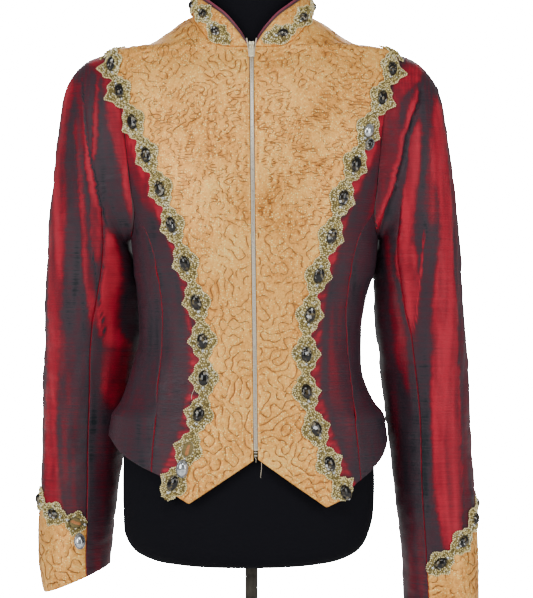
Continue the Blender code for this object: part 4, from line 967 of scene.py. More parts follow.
# Gold fronts: lamé puffed between the lines of a winding quilting stitch
goldPanel = {
    "columns": 72, "rows": 236, "puff": 0.0007, "puffReach": 0.002, "shade": 0.001,
    "windLength": (0.0125, 0.023), "windCount": 46, "seed": 5, "gapLength": (0.012, 0.04), "sewnMore": 0.75,
    "tighter": 0.3, "tightFrom": (0.7, 0.9), "crinkle": 0.00022,
    "cell": 0.00158, "threadWidth": 0.00058, "threadHeight": 0.00062, "edgeStop": 0.004, "zipStop": 0.0055,
    "dip": 0.0011, "dipWide": 0.0022, "leastSlope": 60.0, "sewnLow": (0.6, 0.72, 0.62), "sewnFade": (-0.55, 0.35),
    # tone is the cloth's base; hollowShade and stitchShade are painted shade in the hollows and along the stitches,
    # crinkleHighlight painted light on the crinkles, and patchTone a soft change at random
    "drawnOver": 0.35, "threadLift": 0.00005, "flatEdge": 0.006, "tone": 0.58, "hollowShade": 0.07, "stitchShade": 0.15,
    "crinkleHighlight": 0.05, "patchTone": 0.06,
}


class Winding:
    # Plane waves of nearly one length, whose zero lines wind about without crossing, tighter near the shoulders
    def __init__(self, seed, shortest, longest, count):
        draw = np.random.RandomState(seed)
        way = draw.uniform(0, 2 * math.pi, count)
        self.waves = np.stack([np.cos(way), np.sin(way)], -1)
        self.waves *= 2 * math.pi / draw.uniform(shortest, longest, (count, 1))
        self.phases = draw.uniform(0, 2 * math.pi, count)
        self.scale = math.sqrt(2 / count)
        self.gaps = Ripple(seed + 90, *goldPanel["gapLength"], 24)

    def __call__(self, places):
        tight = 1 + goldPanel["tighter"] * smoothStep(*goldPanel["tightFrom"], places[..., 1:])
        return np.sin((places * tight) @ self.waves.T + self.phases).sum(-1) * self.scale

    def slope(self, places, step=0.0002):
        return np.stack([
            (self(places + way) - self(places - way)) / (2 * step) for way in np.eye(2) * step], -1)

    def distance(self, places):
        # About how far the nearest zero line lies
        return np.abs(self(places)) / np.maximum(np.linalg.norm(self.slope(places), axis=-1), goldPanel["leastSlope"])

    def sewn(self, places):
        # Where the stitch is drawn in the cloth: it fades out here and there
        flat = np.concatenate([places, 0 * places[..., :1]], -1)
        much, high, low = goldPanel["sewnLow"]
        more = goldPanel["sewnMore"] + much * smoothStep(high, low, places[..., 1])
        return smoothStep(*goldPanel["sewnFade"], self.gaps(flat) + more)


def zeroLines(field, low, high, cell, keep):
    # Marching squares: crossing points on the cell edges and the pairs that cells join
    places = np.stack(np.meshgrid(*(np.arange(*k, cell) for k in zip(low, high)), indexing="ij"), -1)
    value = field(places)
    value[value == 0] = 1e-9
    crossX = value[:-1, :] * value[1:, :] < 0
    crossY = value[:, :-1] * value[:, 1:] < 0
    idX, idY = np.full(crossX.shape, -1), np.full(crossY.shape, -1)
    idX[crossX] = np.arange(crossX.sum())
    idY[crossY] = crossX.sum() + np.arange(crossY.sum())
    shareX = (value[:-1, :] / (value[:-1, :] - value[1:, :]))[crossX][:, None]
    shareY = (value[:, :-1] / (value[:, :-1] - value[:, 1:]))[crossY][:, None]
    points = np.concatenate([
        places[:-1, :][crossX] + shareX * np.array([cell, 0]), places[:, :-1][crossY] + shareY * np.array([0, cell]),
    ])
    edges = np.stack([idX[:, :-1], idX[:, 1:], idY[:-1, :], idY[1:, :]], -1).reshape(-1, 4)
    two = np.sort(edges[(edges >= 0).sum(1) == 2], axis=1)[:, 2:]
    four = edges[(edges >= 0).sum(1) == 4]
    pairs = np.concatenate([two, four[:, [0, 2]], four[:, [1, 3]]])
    inside = keep(points)
    pairs = pairs[inside[pairs].all(1)]
    used, pairs = np.unique(pairs, return_inverse=True)
    return points[used], pairs.reshape(-1, 2)


def threadMesh(points, normals, ahead, pairs):
    # A three-sided thread through points that pairs join: two feet on the cloth and a crest
    across = unit(np.cross(normals, ahead)) * goldPanel["threadWidth"]
    sections = np.stack([points - across, points + normals * goldPanel["threadHeight"], points + across], 1)
    a, b = pairs[:, 0], pairs[:, 1]
    forward = np.sum((points[b] - points[a]) * ahead[a], axis=1) > 0
    a, b = np.where(forward, a, b), np.where(forward, b, a)
    faces = np.concatenate([
        np.stack([a * 3 + k, b * 3 + k, b * 3 + (k + 1) % 3, a * 3 + (k + 1) % 3], -1) for k in range(3)
    ])
    return sections.reshape(-1, 3), faces


crinkle = Ripple(71, 0.0045, 0.011, 40)
softPatches = Ripple(72, 0.03, 0.12, 20)


def puffedCloth(points, normals, flat, field):
    # Cloth raised between the stitches and finely crinkled; its tone is painted light on the puffs and crinkle crests,
    # painted shade in the hollows and along the stitches, and soft patches at random
    look, crumpled = goldPanel, crinkle(points)
    hollow, stitchShadeMask = (bump(field.distance(flat), 0, look[key]) * field.sewn(flat) for key in ("puffReach", "shade"))
    edge = smoothStep(0, look["flatEdge"], np.minimum.reduce(edgeDistance(points)))
    rise = (look["puff"] * (1 - hollow) + look["crinkle"] * crumpled) * edge
    tone = look["tone"] - look["hollowShade"] * hollow - look["stitchShade"] * stitchShadeMask
    tone = tone + look["crinkleHighlight"] * crumpled + look["patchTone"] * softPatches(points)
    return points + normals * rise[..., None], tone


def addGoldFront(side, name):
    look = goldPanel
    points, normals = panelGrid(side, "front_centre", look["columns"], look["rows"])
    flat = np.stack([points[..., 0], points[..., 2]], -1)
    field = Winding(look["seed"] + side, *look["windLength"], look["windCount"])
    dip = turnedEdge(points, look["dip"], look["dipWide"])
    outer, tone = puffedCloth(points, normals, flat, field)
    outer = outer - normals * dip[..., None]
    inner = points - normals * jacket["cloth"]
    shell(f"front_centre_{name}_lame", outer, inner, "gold", replaces=[f"front_centre_{name}"],
          attributes={"raised": tone}, plain=points)
    # The stitch itself lies on the panel's own surface, wherever the panel is
    lines = (toSkin(side, line) for line in panelLines(side, "front_centre")[1:])
    edge, hem, neck = (skin(jacket, line[:, 0], line[:, 1])[:, [0, 2]] * (side, 1) for line in lines)
    neck = neck[np.argsort(neck[:, 0])]
    stop = look["edgeStop"]

    def keep(at):
        outward = side * at[:, 0]
        reach = np.interp(at[:, 1], edge[:, 1], edge[:, 0])
        low, high = (np.interp(outward, line[:, 0], line[:, 1]) for line in (hem, neck))
        zipSide = side * (at[:, 0] - zipX(at[:, 1]))
        inside = (zipSide > look["zipStop"]) & (outward < reach - stop)
        return (field.sewn(at) > look["drawnOver"]) & inside & (at[:, 1] > low + stop) & (at[:, 1] < high - stop)

    across = (0.0, 0.19) if side > 0 else (-0.19, 0.01)
    at, pairs = zeroLines(field, (across[0], 0.37), (across[1], 0.985), look["cell"], keep)
    angle = angleAt(jacket, at[:, 0], at[:, 1])
    on, facing = skin(jacket, angle, at[:, 1]), skinNormal(jacket, angle, at[:, 1])
    slope = field.slope(at)
    ahead = np.stack([-slope[:, 1], np.zeros(len(at)), slope[:, 0]], -1)
    verts, faces = threadMesh(on + facing * look["threadLift"], facing, laidFlat(ahead, facing), pairs)
    makePiece(f"quilting_{name}", verts, [faces], "stitch", sharpAngle=None)
    print("quilted front", name, len(pairs), "stitches")


for side, name in sides:
    addGoldFront(side, name)


# Sleeves, a row for each ring down the arm: inner x and z, outer x and z, centre y, half depth
sleeve = {
    "rings": {
        1: mm(
            (158, 700, 180, 933.5, -5, 60), (159, 698.8, 196, 927.5, -4, 62.5), (159.5, 696.5, 210, 918, -2, 64.5),
            (159, 693.5, 221.5, 905.5, 0, 65.5), (158.5, 690, 232.5, 888, 2, 65.5), (157.5, 685, 240, 860, 4, 65),
            (156.5, 679, 246, 823, 6, 64), (155.5, 670, 252, 779, 9, 62.5), (154.5, 656, 259, 720, 13, 61),
            (154, 632, 264, 660, 17, 59), (156, 590, 269, 600, 22, 57), (160.5, 545, 273.5, 548, 28, 55.5),
            (168, 490, 277, 490, 34, 53), (175, 435, 280, 433, 36, 51), (181, 380, 282.5, 377, 33, 49),
            (186.5, 335, 285, 331, 28, 47.5), (190, 295, 286, 289, 24, 46), (191.5, 268, 286, 262, 21, 45.5),
            (192, 245, 286, 238, 19, 45),
        ),
        -1: mm(
            (155, 700, 176, 933.5, -5, 60), (155.5, 698.8, 193, 928.5, -3, 62.5), (155.5, 696.5, 208, 920, 0, 64.5),
            (155, 693.5, 220.5, 908, 3, 65.5), (154, 690, 230.5, 889, 6, 65.5), (152.5, 685, 238.5, 860, 10, 65),
            (150.5, 679, 245, 822, 15, 64), (147.5, 670, 251, 778, 21, 62.5), (143, 656, 256, 720, 29, 61),
            (141, 632, 260, 660, 37, 59), (141, 590, 264.5, 602, 47, 57), (144, 550, 267.5, 550, 57, 55),
            (152, 500, 270, 496, 68, 51.5), (162, 450, 271, 442, 72, 49), (169, 400, 272, 388, 67, 47.5),
            (174.5, 348, 273.5, 332, 59, 46.5), (178, 317, 272.5, 295, 53, 45.5), (179.5, 301, 269, 273, 50, 44.5),
            (180.5, 288, 265, 253, 48, 43),
        ),
    },
    "loopDecay": (1.0, 0.72, 0.45, 0.22, 0.07, 0.0),
    "cuffRow": {1: 16, -1: 15}, "cuffRise": {1: 1.9, -1: 0.85}, "cuffEase": 5, "seamAngle": 75,
    # The cuff's unrolled radius, and the angle that the stitch keeps off its seams
    "cuffRadius": 0.047, "cuffMargin": 5.0,
    # Angle of the front seam against the ring
    "frontSeam": {
        1: ((0, 75), (4, 69), (8, 58), (9.6, 66), (10.35, 73), (11.8, 75), (13.6, 69), (14.3, 67), (15.6, 65),
            (18, 66)),
        -1: ((0, 75), (5, 73), (7.1, 71), (8.2, 74), (9.4, 81), (10.1, 86), (10.8, 87), (11.9, 84), (13.2, 79),
             (14.4, 73), (15.5, 69), (18, 68)),
    },
    "armholeShown": {1: 0.0, -1: 0.8}, "pleat": 0.0046, "pleatDepth": 0.0009, "pleatFade": (0.835, 0.905),
    "pleatPower": 0.75, "pleatMiddle": 0.6,
    # Large folds: side, angle, ring, half-width in degrees, half-length in rings, depth
    "folds": (
        (-1, 322, 7.0, 34, 2.3, -0.013), (1, 322, 6.3, 32, 2.0, -0.0085), (-1, 60, 10.0, 40, 0.8, 0.005),
        (-1, 95, 8.0, 30, 0.9, 0.003), (-1, 200, 11.0, 45, 0.8, 0.0035), (1, 75, 9.0, 32, 1.0, 0.005),
        (1, 120, 10.6, 40, 0.8, 0.003), (1, 40, 11.6, 35, 0.8, 0.0035),
    ),
    "topSize": (128, 138), "underSize": (40, 170), "cuffSize": (96, 52),
    "wrinkleDepth": 0.0006, "puckerDepth": 0.0004, "puckerReach": 0.01, "dip": 0.0011, "dipWide": 0.0022,
    # Wrinkles everywhere, and more round these shares of the arm: share, half-width, how much more
    "wrinkled": 0.35, "wrinkledMore": ((0.55, 0.22, 0.9), (0.92, 0.1, 0.5)), "creaseDepth": 0.00035,
    "creaseFrom": (0.1, 0.4), "flatEdge": 0.006, "flatWrinkle": 0.02, "seamShown": 0.15, "seamFrom": (4, 7),
    # base is the plain crimson share; pleatShade, rolledHighlight, armholeLit and rolledBelow set the painted light and
    # shade on the pleats, rolled edges and armhole
    "base": 0.16, "pleatShade": 0.22, "rolledHighlight": 0.95, "armholeLit": {1: 0.2, -1: 1.0}, "rolledBelow": (0.76, 0.7),
    "drawnOver": 0.5, "threadLift": 0.0001, "ringMargin": 0.15,
}


def armholePoints(side):
    # The armhole as points at the loop's angles, from the underarm round the front
    front, back = (skin(jacket, half[:, 0], half[:, 1]) for half in armhole(side))
    loop = cut["loop"]
    return np.array([*loop, *(360 - angle for angle in loop[-2::-1])]), np.concatenate([front, back[-2::-1]])


loops = {side: armholePoints(side) for side, name in sides}


def sleeveShape(side, angle, ring):
    # Ellipses that begin as the armhole's own outline; angle 0 is next to the body, 90 in front
    angle, ring = np.broadcast_arrays(np.asarray(angle, float), np.asarray(ring, float))

    def ellipse(at):
        innerX, innerZ, outerX, outerZ, middleY, depth = np.moveaxis(throughRows(sleeve["rings"][side], at), -1, 0)
        cosine, sine = np.cos(np.radians(angle)), np.sin(np.radians(angle))
        x = (innerX + outerX) / 2 - (outerX - innerX) / 2 * cosine
        z = (innerZ + outerZ) / 2 - (outerZ - innerZ) / 2 * cosine
        return np.stack([side * x, middleY - depth * sine, z], -1)

    angles, points = loops[side]
    rows = [(a, *point) for a, point in zip(angles, points)]
    loop = np.stack([through(rows, angle % 360, k) for k in (1, 2, 3)], -1)
    keep = np.interp(ring, range(len(sleeve["loopDecay"])), sleeve["loopDecay"])
    return ellipse(ring) + keep[..., None] * (loop - ellipse(np.zeros_like(ring)))


def sleeveNormal(side, angle, ring):
    angle, ring = np.broadcast_arrays(np.asarray(angle, float), np.asarray(ring, float))
    around = sleeveShape(side, angle + 1, ring) - sleeveShape(side, angle - 1, ring)
    along = sleeveShape(side, angle, ring + 0.05) - sleeveShape(side, angle, ring - 0.05)
    plain = unit(np.cross(around, along)) * -side
    fromMiddle = unit(sleeveShape(side, angle, ring) - loops[side][1].mean(0))
    share = np.clip(1 - ring, 0, 1)[..., None]
    return unit(plain * (1 - share) + fromMiddle * share)


def sleeveDepth(side, angle, ring):
    # Each large fold is a slanting hollow
    moved = np.zeros(np.broadcast(angle, ring).shape)
    for foldSide, middle, at, wide, long, depth in sleeve["folds"]:
        if foldSide == side:
            turn = ((angle - middle + 180) % 360 - 180) / wide
            moved = moved - depth * np.exp(-(turn**2) - ((ring - at - 0.5 * turn) / long) ** 2)
    return moved


def frontSeam(side, ring):
    return through(sleeve["frontSeam"][side], ring)


def pleats(side, points):
    # Fine pleats of the eased sleeve head: broad ridges and sharp valleys that fade down the arm
    across, height = sighted(points)
    place = across / sleeve["pleat"] + 0.35 * np.sin(across * 95 + side) + 0.25 * np.sin(height * 55 + across * 40)
    ridge = np.abs(np.sin(math.pi * place)) ** sleeve["pleatPower"] - sleeve["pleatMiddle"]
    return ridge * smoothStep(*sleeve["pleatFade"], height) * (0.65 + 0.45 * streaks(points))


def cuffLine(side, angle):
    # The ring at which the sleeve meets its cuff, which rises to a point on the outer side
    rise = 1 - np.abs(np.asarray(angle, float) - 180) / (180 - sleeve["seamAngle"])
    return sleeve["cuffRow"][side] - sleeve["cuffRise"][side] * rise


armWrinkles = {side: Ripple(21 + side, 0.022, 0.06, 28, stretch=(1, 1, 1.8)) for side in (1, -1)}
armCreases = {side: Ripple(31 + side, 0.009, 0.02, 28, stretch=(2.6, 2.6, 1)) for side in (1, -1)}


def sleeveWall(side, angle, ring, quiet=1.0):
    # Outer and inner grids of a part of the sleeve: pleats, folds, wrinkles and turned edges
    plain, normal = sleeveShape(side, angle, ring), sleeveNormal(side, angle, ring)
    away, back, foot, top = edgeDistance(plain)
    nearSeam = np.minimum(away, back)
    low = ring / (len(sleeve["rings"][side]) - 1)
    crumple = sleeve["wrinkled"] + sum(more * bump(low, at, wide) for at, wide, more in sleeve["wrinkledMore"])
    crumple = sleeve["wrinkleDepth"] * crumple * smoothStep(0, sleeve["flatWrinkle"], nearSeam)
    creased = sleeve["creaseDepth"] * smoothStep(*sleeve["creaseFrom"], low)
    moved = sleeveDepth(side, angle, ring) + sleeve["pleatDepth"] * pleats(side, plain) * smoothStep(0, 0.004, foot)
    moved = moved + quiet * (crumple * armWrinkles[side](plain) + creased * armCreases[side](plain))
    moved = moved + sleeve["puckerDepth"] * pucker(plain) * np.exp(-nearSeam / sleeve["puckerReach"])
    raised = foldsAt(sleeveFolds, side, plain, 0.0)[1]
    moved = moved + raised * smoothStep(0, sleeve["flatEdge"], np.minimum.reduce([away, back, foot, top]))
    # The lengthwise seams are pressed flat near the armhole, where they hardly show
    shown = sleeve["seamShown"] + (1 - sleeve["seamShown"]) * smoothStep(*sleeve["seamFrom"], ring)
    dips = (nearSeam, shown), (foot, sleeve["armholeShown"][side]), (top, 1.0)
    dips = [rolledUnder(near, sleeve["dip"], sleeve["dipWide"]) * much for near, much in dips]
    moved = moved - np.maximum.reduce(dips)
    outer = plain + normal * moved[..., None]
    return outer, outer - normal * jacket["cloth"], normal


def addSilk(side, name, angle, ring):
    outer, inner, normal = sleeveWall(side, angle, ring)
    shotAndSheen = sleeveShotAndSheen(side, outer, gridNormals(outer, normal))
    shell(f"{name}_silk", outer, inner, "silk", replaces=[name], attributes={"shotAndSheen": shotAndSheen},
          plain=sleeveShape(side, angle, ring))


def overArm(side, ring, columns):
    # Angles from the front seam over the arm to the back seam
    front = frontSeam(side, ring)
    return front + (360 - sleeve["seamAngle"] - front) * crowded(columns, 0.5)


def addSleeve(side, name):
    last = len(sleeve["rings"][side]) - 1
    seam, cuffRow = sleeve["seamAngle"], sleeve["cuffRow"][side]
    columns, rows = sleeve["underSize"]
    ring = (last * crowded(rows, 0.3))[:, None] + np.zeros((1, columns))
    addSilk(side, f"under_sleeve_{name}", -seam + (seam + frontSeam(side, ring)) * crowded(columns), ring)
    columns, rows = sleeve["topSize"]
    row = cuffRow * crowded(rows, 0.3)[:, None]
    rise = cuffLine(side, overArm(side, cuffRow, columns)) - cuffRow
    ring = row + rise * np.clip((row - cuffRow) / sleeve["cuffEase"] + 1, 0, 1)
    addSilk(side, f"top_sleeve_{name}", overArm(side, ring, columns), ring)
    addCuff(side, name, last)


def addCuff(side, name, last):
    columns, rows = sleeve["cuffSize"]
    share = crowded(rows, 0.6)[:, None]
    ring = cuffLine(side, overArm(side, sleeve["cuffRow"][side], columns)) * (1 - share) + last * share
    angle = overArm(side, ring, columns)
    outer, inner, normal = sleeveWall(side, angle, ring, 0.4)
    # The winding field lies on the unrolled cuff: arc length round it and height
    radius, margin, most = sleeve["cuffRadius"], sleeve["cuffMargin"], 360 - sleeve["seamAngle"]
    flat = np.stack([np.radians(angle) * radius, outer[..., 2]], -1)
    field = Winding(goldPanel["seed"] + 7 + side, *goldPanel["windLength"], goldPanel["windCount"])
    outer, tone = puffedCloth(outer, normal, flat, field)
    shell(f"cuff_{name}_lame", outer, inner, "gold", replaces=[f"cuff_{name}"],
          attributes={"raised": tone}, plain=sleeveShape(side, angle, ring))
    rings = np.linspace(cuffLine(side, 180) - 0.2, last, 60)

    def ringAt(theta, z):
        # The ring whose surface at this angle has this height
        heights = sleeveShape(side, np.degrees(theta)[:, None], rings[None, :])[..., 2]
        found = np.zeros(len(theta))
        for k in range(len(rings) - 1):
            here = (heights[:, k] >= z) & (heights[:, k + 1] < z)
            part = (heights[:, k] - z) / np.maximum(heights[:, k] - heights[:, k + 1], 1e-9)
            found = np.where(here, rings[k] + part * (rings[k + 1] - rings[k]), found)
        return found

    def keep(at):
        theta = at[:, 0] / radius
        degrees, ring = np.degrees(theta), ringAt(theta, at[:, 1])
        inside = (degrees > frontSeam(side, ring) + margin) & (degrees < most - margin)
        inside &= (ring > cuffLine(side, degrees) + sleeve["ringMargin"]) & (ring < last - sleeve["ringMargin"])
        return (field.sewn(at) > sleeve["drawnOver"]) & inside

    low, high = (math.radians(60) * radius, outer[..., 2].min()), (math.radians(most) * radius, outer[..., 2].max())
    at, pairs = zeroLines(field, low, high, goldPanel["cell"], keep)
    theta = at[:, 0] / radius
    degrees, ring = np.degrees(theta), ringAt(theta, at[:, 1])
    on, facing = sleeveShape(side, degrees, ring), sleeveNormal(side, degrees, ring)
    on = on + facing * sleeveDepth(side, degrees, ring)[:, None]
    slope = field.slope(at)
    round_ = unit(sleeveShape(side, degrees + 0.5, ring) - sleeveShape(side, degrees - 0.5, ring))
    upward = np.array([0, 0, 1.0]) - facing * facing[:, 2:]
    ahead = unit(-slope[:, 1:] * round_ + slope[:, :1] * upward)
    verts, faces = threadMesh(on + facing * sleeve["threadLift"], facing, ahead, pairs)
    makePiece(f"quilting_cuff_{name}", verts, [faces], "stitch", sharpAngle=None)


def sleeveShotAndSheen(side, points, normals):
    # Crimson share of a sleeve: painted sheen on its folds, painted light on its pleats' ridges and shade in their
    # valleys, and a painted highlight along its rolled edges and armhole
    crimsonAndSheen = sleeve["base"] + silkShade(points, normals) + sleeve["pleatShade"] * pleats(side, points)
    crimsonAndSheen = crimsonAndSheen + foldsAt(sleeveFolds, side, points)[0]
    left, right, foot = edgeDistance(points)[:3]
    rolledHighlight = bump(np.minimum(left, right), 0, silkEdge["reach"]) * smoothStep(*sleeve["rolledBelow"], points[..., 2])
    rolledHighlight = np.maximum(rolledHighlight, bump(foot, 0, silkEdge["armhole"]) * sleeve["armholeLit"][side])
    return np.clip(np.maximum(crimsonAndSheen, sleeve["rolledHighlight"] * rolledHighlight), 0, 1)


for side, name in sides:
    addSleeve(side, name)
print("sleeves and cuffs ready")


# A dark cord sunk inside each armhole seam: it stands for the seam allowance and keeps light from passing at the seam,
# and its dark wine shows in the groove as painted shade
armholeShadeCord = {"samples": 120, "radius": 0.0023, "sunk": 0.0026}


def addArmholeShadeCord(side, name):
    angle = np.degrees(turns(armholeShadeCord["samples"]))
    seam, outward = sleeveShape(side, angle, 0.0), sleeveNormal(side, angle, 0.0)
    roll = tube(seam - outward * armholeShadeCord["sunk"], armholeShadeCord["radius"], 6, closed=True, facing=(1.0, 0.0, 0.0))
    makePiece(f"armhole_tape_{name}", *roll, "lining")


for side, name in sides:
    addArmholeShadeCord(side, name)


# Stand collar
collar = {
    "top": mm(
        (5, -68, 936.2), (21.5, -64.5, 958.5), (37, -58.5, 975), (52, -47, 987), (63, -32, 997), (69.5, -16, 1004),
        (71.5, 2, 1010), (68, 21, 1016), (56, 37, 1020.5), (30, 47.5, 1024), (0.3, 50, 1025),
    ),
    "bow": 0.002, "bowHeight": 0.03, "axisY": -0.01, "gap": 0.0004, "trimAt": 0.46, "trimPitch": 0.036,
    "columns": 190, "rows": 26, "rolls": ((0.75, -0.0002, 0.0028, 0.00165), (0.1, 0.0011, 0.0008, 0.00125)),
}


def neckLoop():
    # The neckline all round, from the zip over the wearer's left to the zip again
    loop = []
    for side in (1, -1):
        front = toSkin(side, neckline(side, "front"))
        back = toSkin(side, neckline(side, "back"), -1)[::-1]
        half = np.concatenate([front, back[1:]])
        loop.append(skin(jacket, half[:, 0], half[:, 1]))
    return np.concatenate([loop[0], loop[1][-2::-1]])


def collarTop():
    half = curveThrough(collar["top"], 1 + cut["neckSteps"]["front"] + cut["neckSteps"]["back"])
    return np.concatenate([half, half[-2::-1] * (-1, 1, 1)])


def collarGrid(over, up):
    # From the neckline to the top edge, bowed out a little at mid height
    foot, top = finer(neckLoop(), over), finer(collarTop(), over)
    outward = unit((foot + top) / 2 * (1, 1, 0) - np.array([0, collar["axisY"], 0]))
    tall = np.minimum(1, np.linalg.norm(top - foot, axis=1) / collar["bowHeight"])
    share = np.asarray(up)[:, None, None]
    grid = foot + (top - foot) * share + outward * (collar["bow"] * 4 * share * (1 - share)) * tall[:, None]
    rise = unit(top - foot)
    grid = grid + rise * (collar["gap"] * (1 - share))
    return grid, unit(np.cross(np.gradient(grid, axis=1), np.gradient(grid, axis=0)))


def addCollar():
    over, up = crowded(collar["columns"], 0.25), crowded(collar["rows"], 0.5)
    grid, facing = collarGrid(over, up)
    foot = grid[0]
    behind = foot[:, 1] > skin(jacket, 90.0, cut["neckZ"])[1]
    footFacing = skinNormal(jacket, angleAt(jacket, foot[:, 0], foot[:, 2], np.where(behind, -1, 1)), foot[:, 2])
    share = np.clip(1 - up * 3, 0, 1)[:, None, None]
    under = unit(facing * (1 - share) + footFacing * share)
    walked = lengthAlong(grid[len(grid) // 2])
    height = np.linalg.norm(grid - grid[:1], axis=2)
    flat = np.stack([walked[None, :] + 0 * height, height], -1)
    field = Winding(goldPanel["seed"] + 20, *goldPanel["windLength"], goldPanel["windCount"])
    outer, tone = puffedCloth(grid, facing, flat, field)
    outer = outer - facing * turnedEdge(grid, 0.0007, 0.0016)[..., None]
    shell("collar_lame", outer, grid - under * jacket["cloth"], "gold", replaces=["collar"],
          attributes={"raised": tone}, plain=grid)
    # Piping: a satin roll on the top edge and a finer, darker one before it; both sink at the zip
    top = grid[-1] - under[-1] * jacket["cloth"] / 2
    ahead = unit(np.gradient(top, axis=0))
    rise = laidFlat(grid[-1] - grid[-3], ahead)
    along = lengthAlong(top)
    inner = smoothStep(0, 0.012, np.minimum(along, along[-1] - along))[:, None]
    rolls = Pile()
    for tone, aside, lift, radius in collar["rolls"]:
        line = top + rise * (lift * inner - 0.0008 * (1 - inner)) + under[-1] * (aside + 0.0009 * (1 - inner))
        rolls.put(*tube(line, radius, 10, facing=under[-1]), tone)
    rolls.piece("collar_piping_satin", "piping", replaces=["collar_piping"], sharpAngle=None)


addCollar()
print("collar and piping ready")


# Jewelled trim: a strip of motifs, each rounded on one side and pointed on the other
trim = {
    # One motif by share along it: its reach to either side
    "pointed": (
        (0.0, 0.0042), (0.06, 0.005), (0.12, 0.0085), (0.2, 0.0112), (0.27, 0.0112), (0.33, 0.0122), (0.41, 0.0152),
        (0.47, 0.0176), (0.5, 0.0184), (0.53, 0.0176), (0.59, 0.015), (0.67, 0.012), (0.73, 0.011),
        (0.8, 0.011), (0.88, 0.0085), (0.94, 0.005), (1.0, 0.0042),
    ),
    "rounded": (
        (0.0, 0.0046), (0.07, 0.0062), (0.14, 0.0095), (0.2, 0.0102), (0.25, 0.01), (0.32, 0.0128), (0.4, 0.0158),
        (0.5, 0.0168), (0.6, 0.0158), (0.68, 0.0128), (0.75, 0.01), (0.8, 0.0102), (0.86, 0.0095),
        (0.93, 0.0062), (1.0, 0.0046),
    ),
    "wider": 1.06, "across": 13, "step": 0.0013, "thick": 0.0016, "lift": 0.0003, "crown": 0.0009, "crownWide": 0.24,
    "bead": 0.00118, "beadGap": 0.0025, "beadStray": 0.16, "beadSizes": (0.72, 1.18), "beadMargin": 0.001,
    "beadLean": 0.1, "beadTones": (0.5, 0.3), "edgeAt": 0.985, "edgeLift": 0.001, "cordSwell": (0.35, 1.15),
    "cordShadeAndHighlight": (0.2, 0.6), "stoneLean": 0.035, "rimWider": (1.04, 1.03), "rimRod": 0.00055, "emptyDeep": 0.0007,
    # Small round stones: which end of the stone and how often, how far from it and how far astray
    "roundStones": ((-1, 0.92), (1, 0.25)), "roundAside": 0.0022, "roundStray": 0.0006, "roundLift": 0.001,
    "cord": 0.00078, "edgeBead": 0.0025,
    "stone": (0.0069, 0.0096, 0.004), "smallStone": 0.0021, "seatRise": 0.0012,
}
clothPieces = [
    f"{part}_{name}_{cloth}" for side, name in sides
    for part, cloth in (("front_centre", "lame"), ("front_side", "silk"), ("back", "silk"), ("top_sleeve", "silk"),
                        ("under_sleeve", "silk"), ("cuff", "lame"))
]


def clothTree(names):
    # All outer faces of these pieces as one tree that a trim can be laid on
    points, faces, start = [], [], 0
    for name in names:
        mesh = bpy.data.objects[name].data
        co = np.zeros(len(mesh.vertices) * 3, np.float32)
        mesh.vertices.foreach_get("co", co)
        loops = np.zeros(len(mesh.loops), np.int32)
        mesh.loops.foreach_get("vertex_index", loops)
        quads = loops.reshape(-1, 4)
        outer = quads[(quads < len(mesh.vertices) // 2).all(1)]
        points.append(co.reshape(-1, 3))
        faces.append(outer + start)
        start += len(mesh.vertices)
    return BVHTree.FromPolygons(*(np.concatenate(k).tolist() for k in (points, faces)))


def laidOn(tree, points, facings, reach=0.02):
    # Each point moved along its facing onto the cloth, or to the nearest place where the ray misses
    flat, ways = points.reshape(-1, 3), np.broadcast_to(facings, points.shape).reshape(-1, 3)
    found = np.array(flat)
    for k, (point, way) in enumerate(zip(flat, ways)):
        start = Vector(point + way * reach)
        hit = tree.ray_cast(start, Vector(-way), 2 * reach)[0]
        found[k] = hit if hit is not None else tree.find_nearest(Vector(point))[0]
    return found.reshape(points.shape)


def smoothedOffsets(values, passes=2):
    # Evens out a grid of heights, so that a stiff strip spans the cloth's small dips
    for _ in range(passes):
        padded = np.pad(values, 1, mode="edge")
        values = (4 * values + padded[:-2, 1:-1] + padded[2:, 1:-1] + padded[1:-1, :-2] + padded[1:-1, 2:]) / 8
    return values


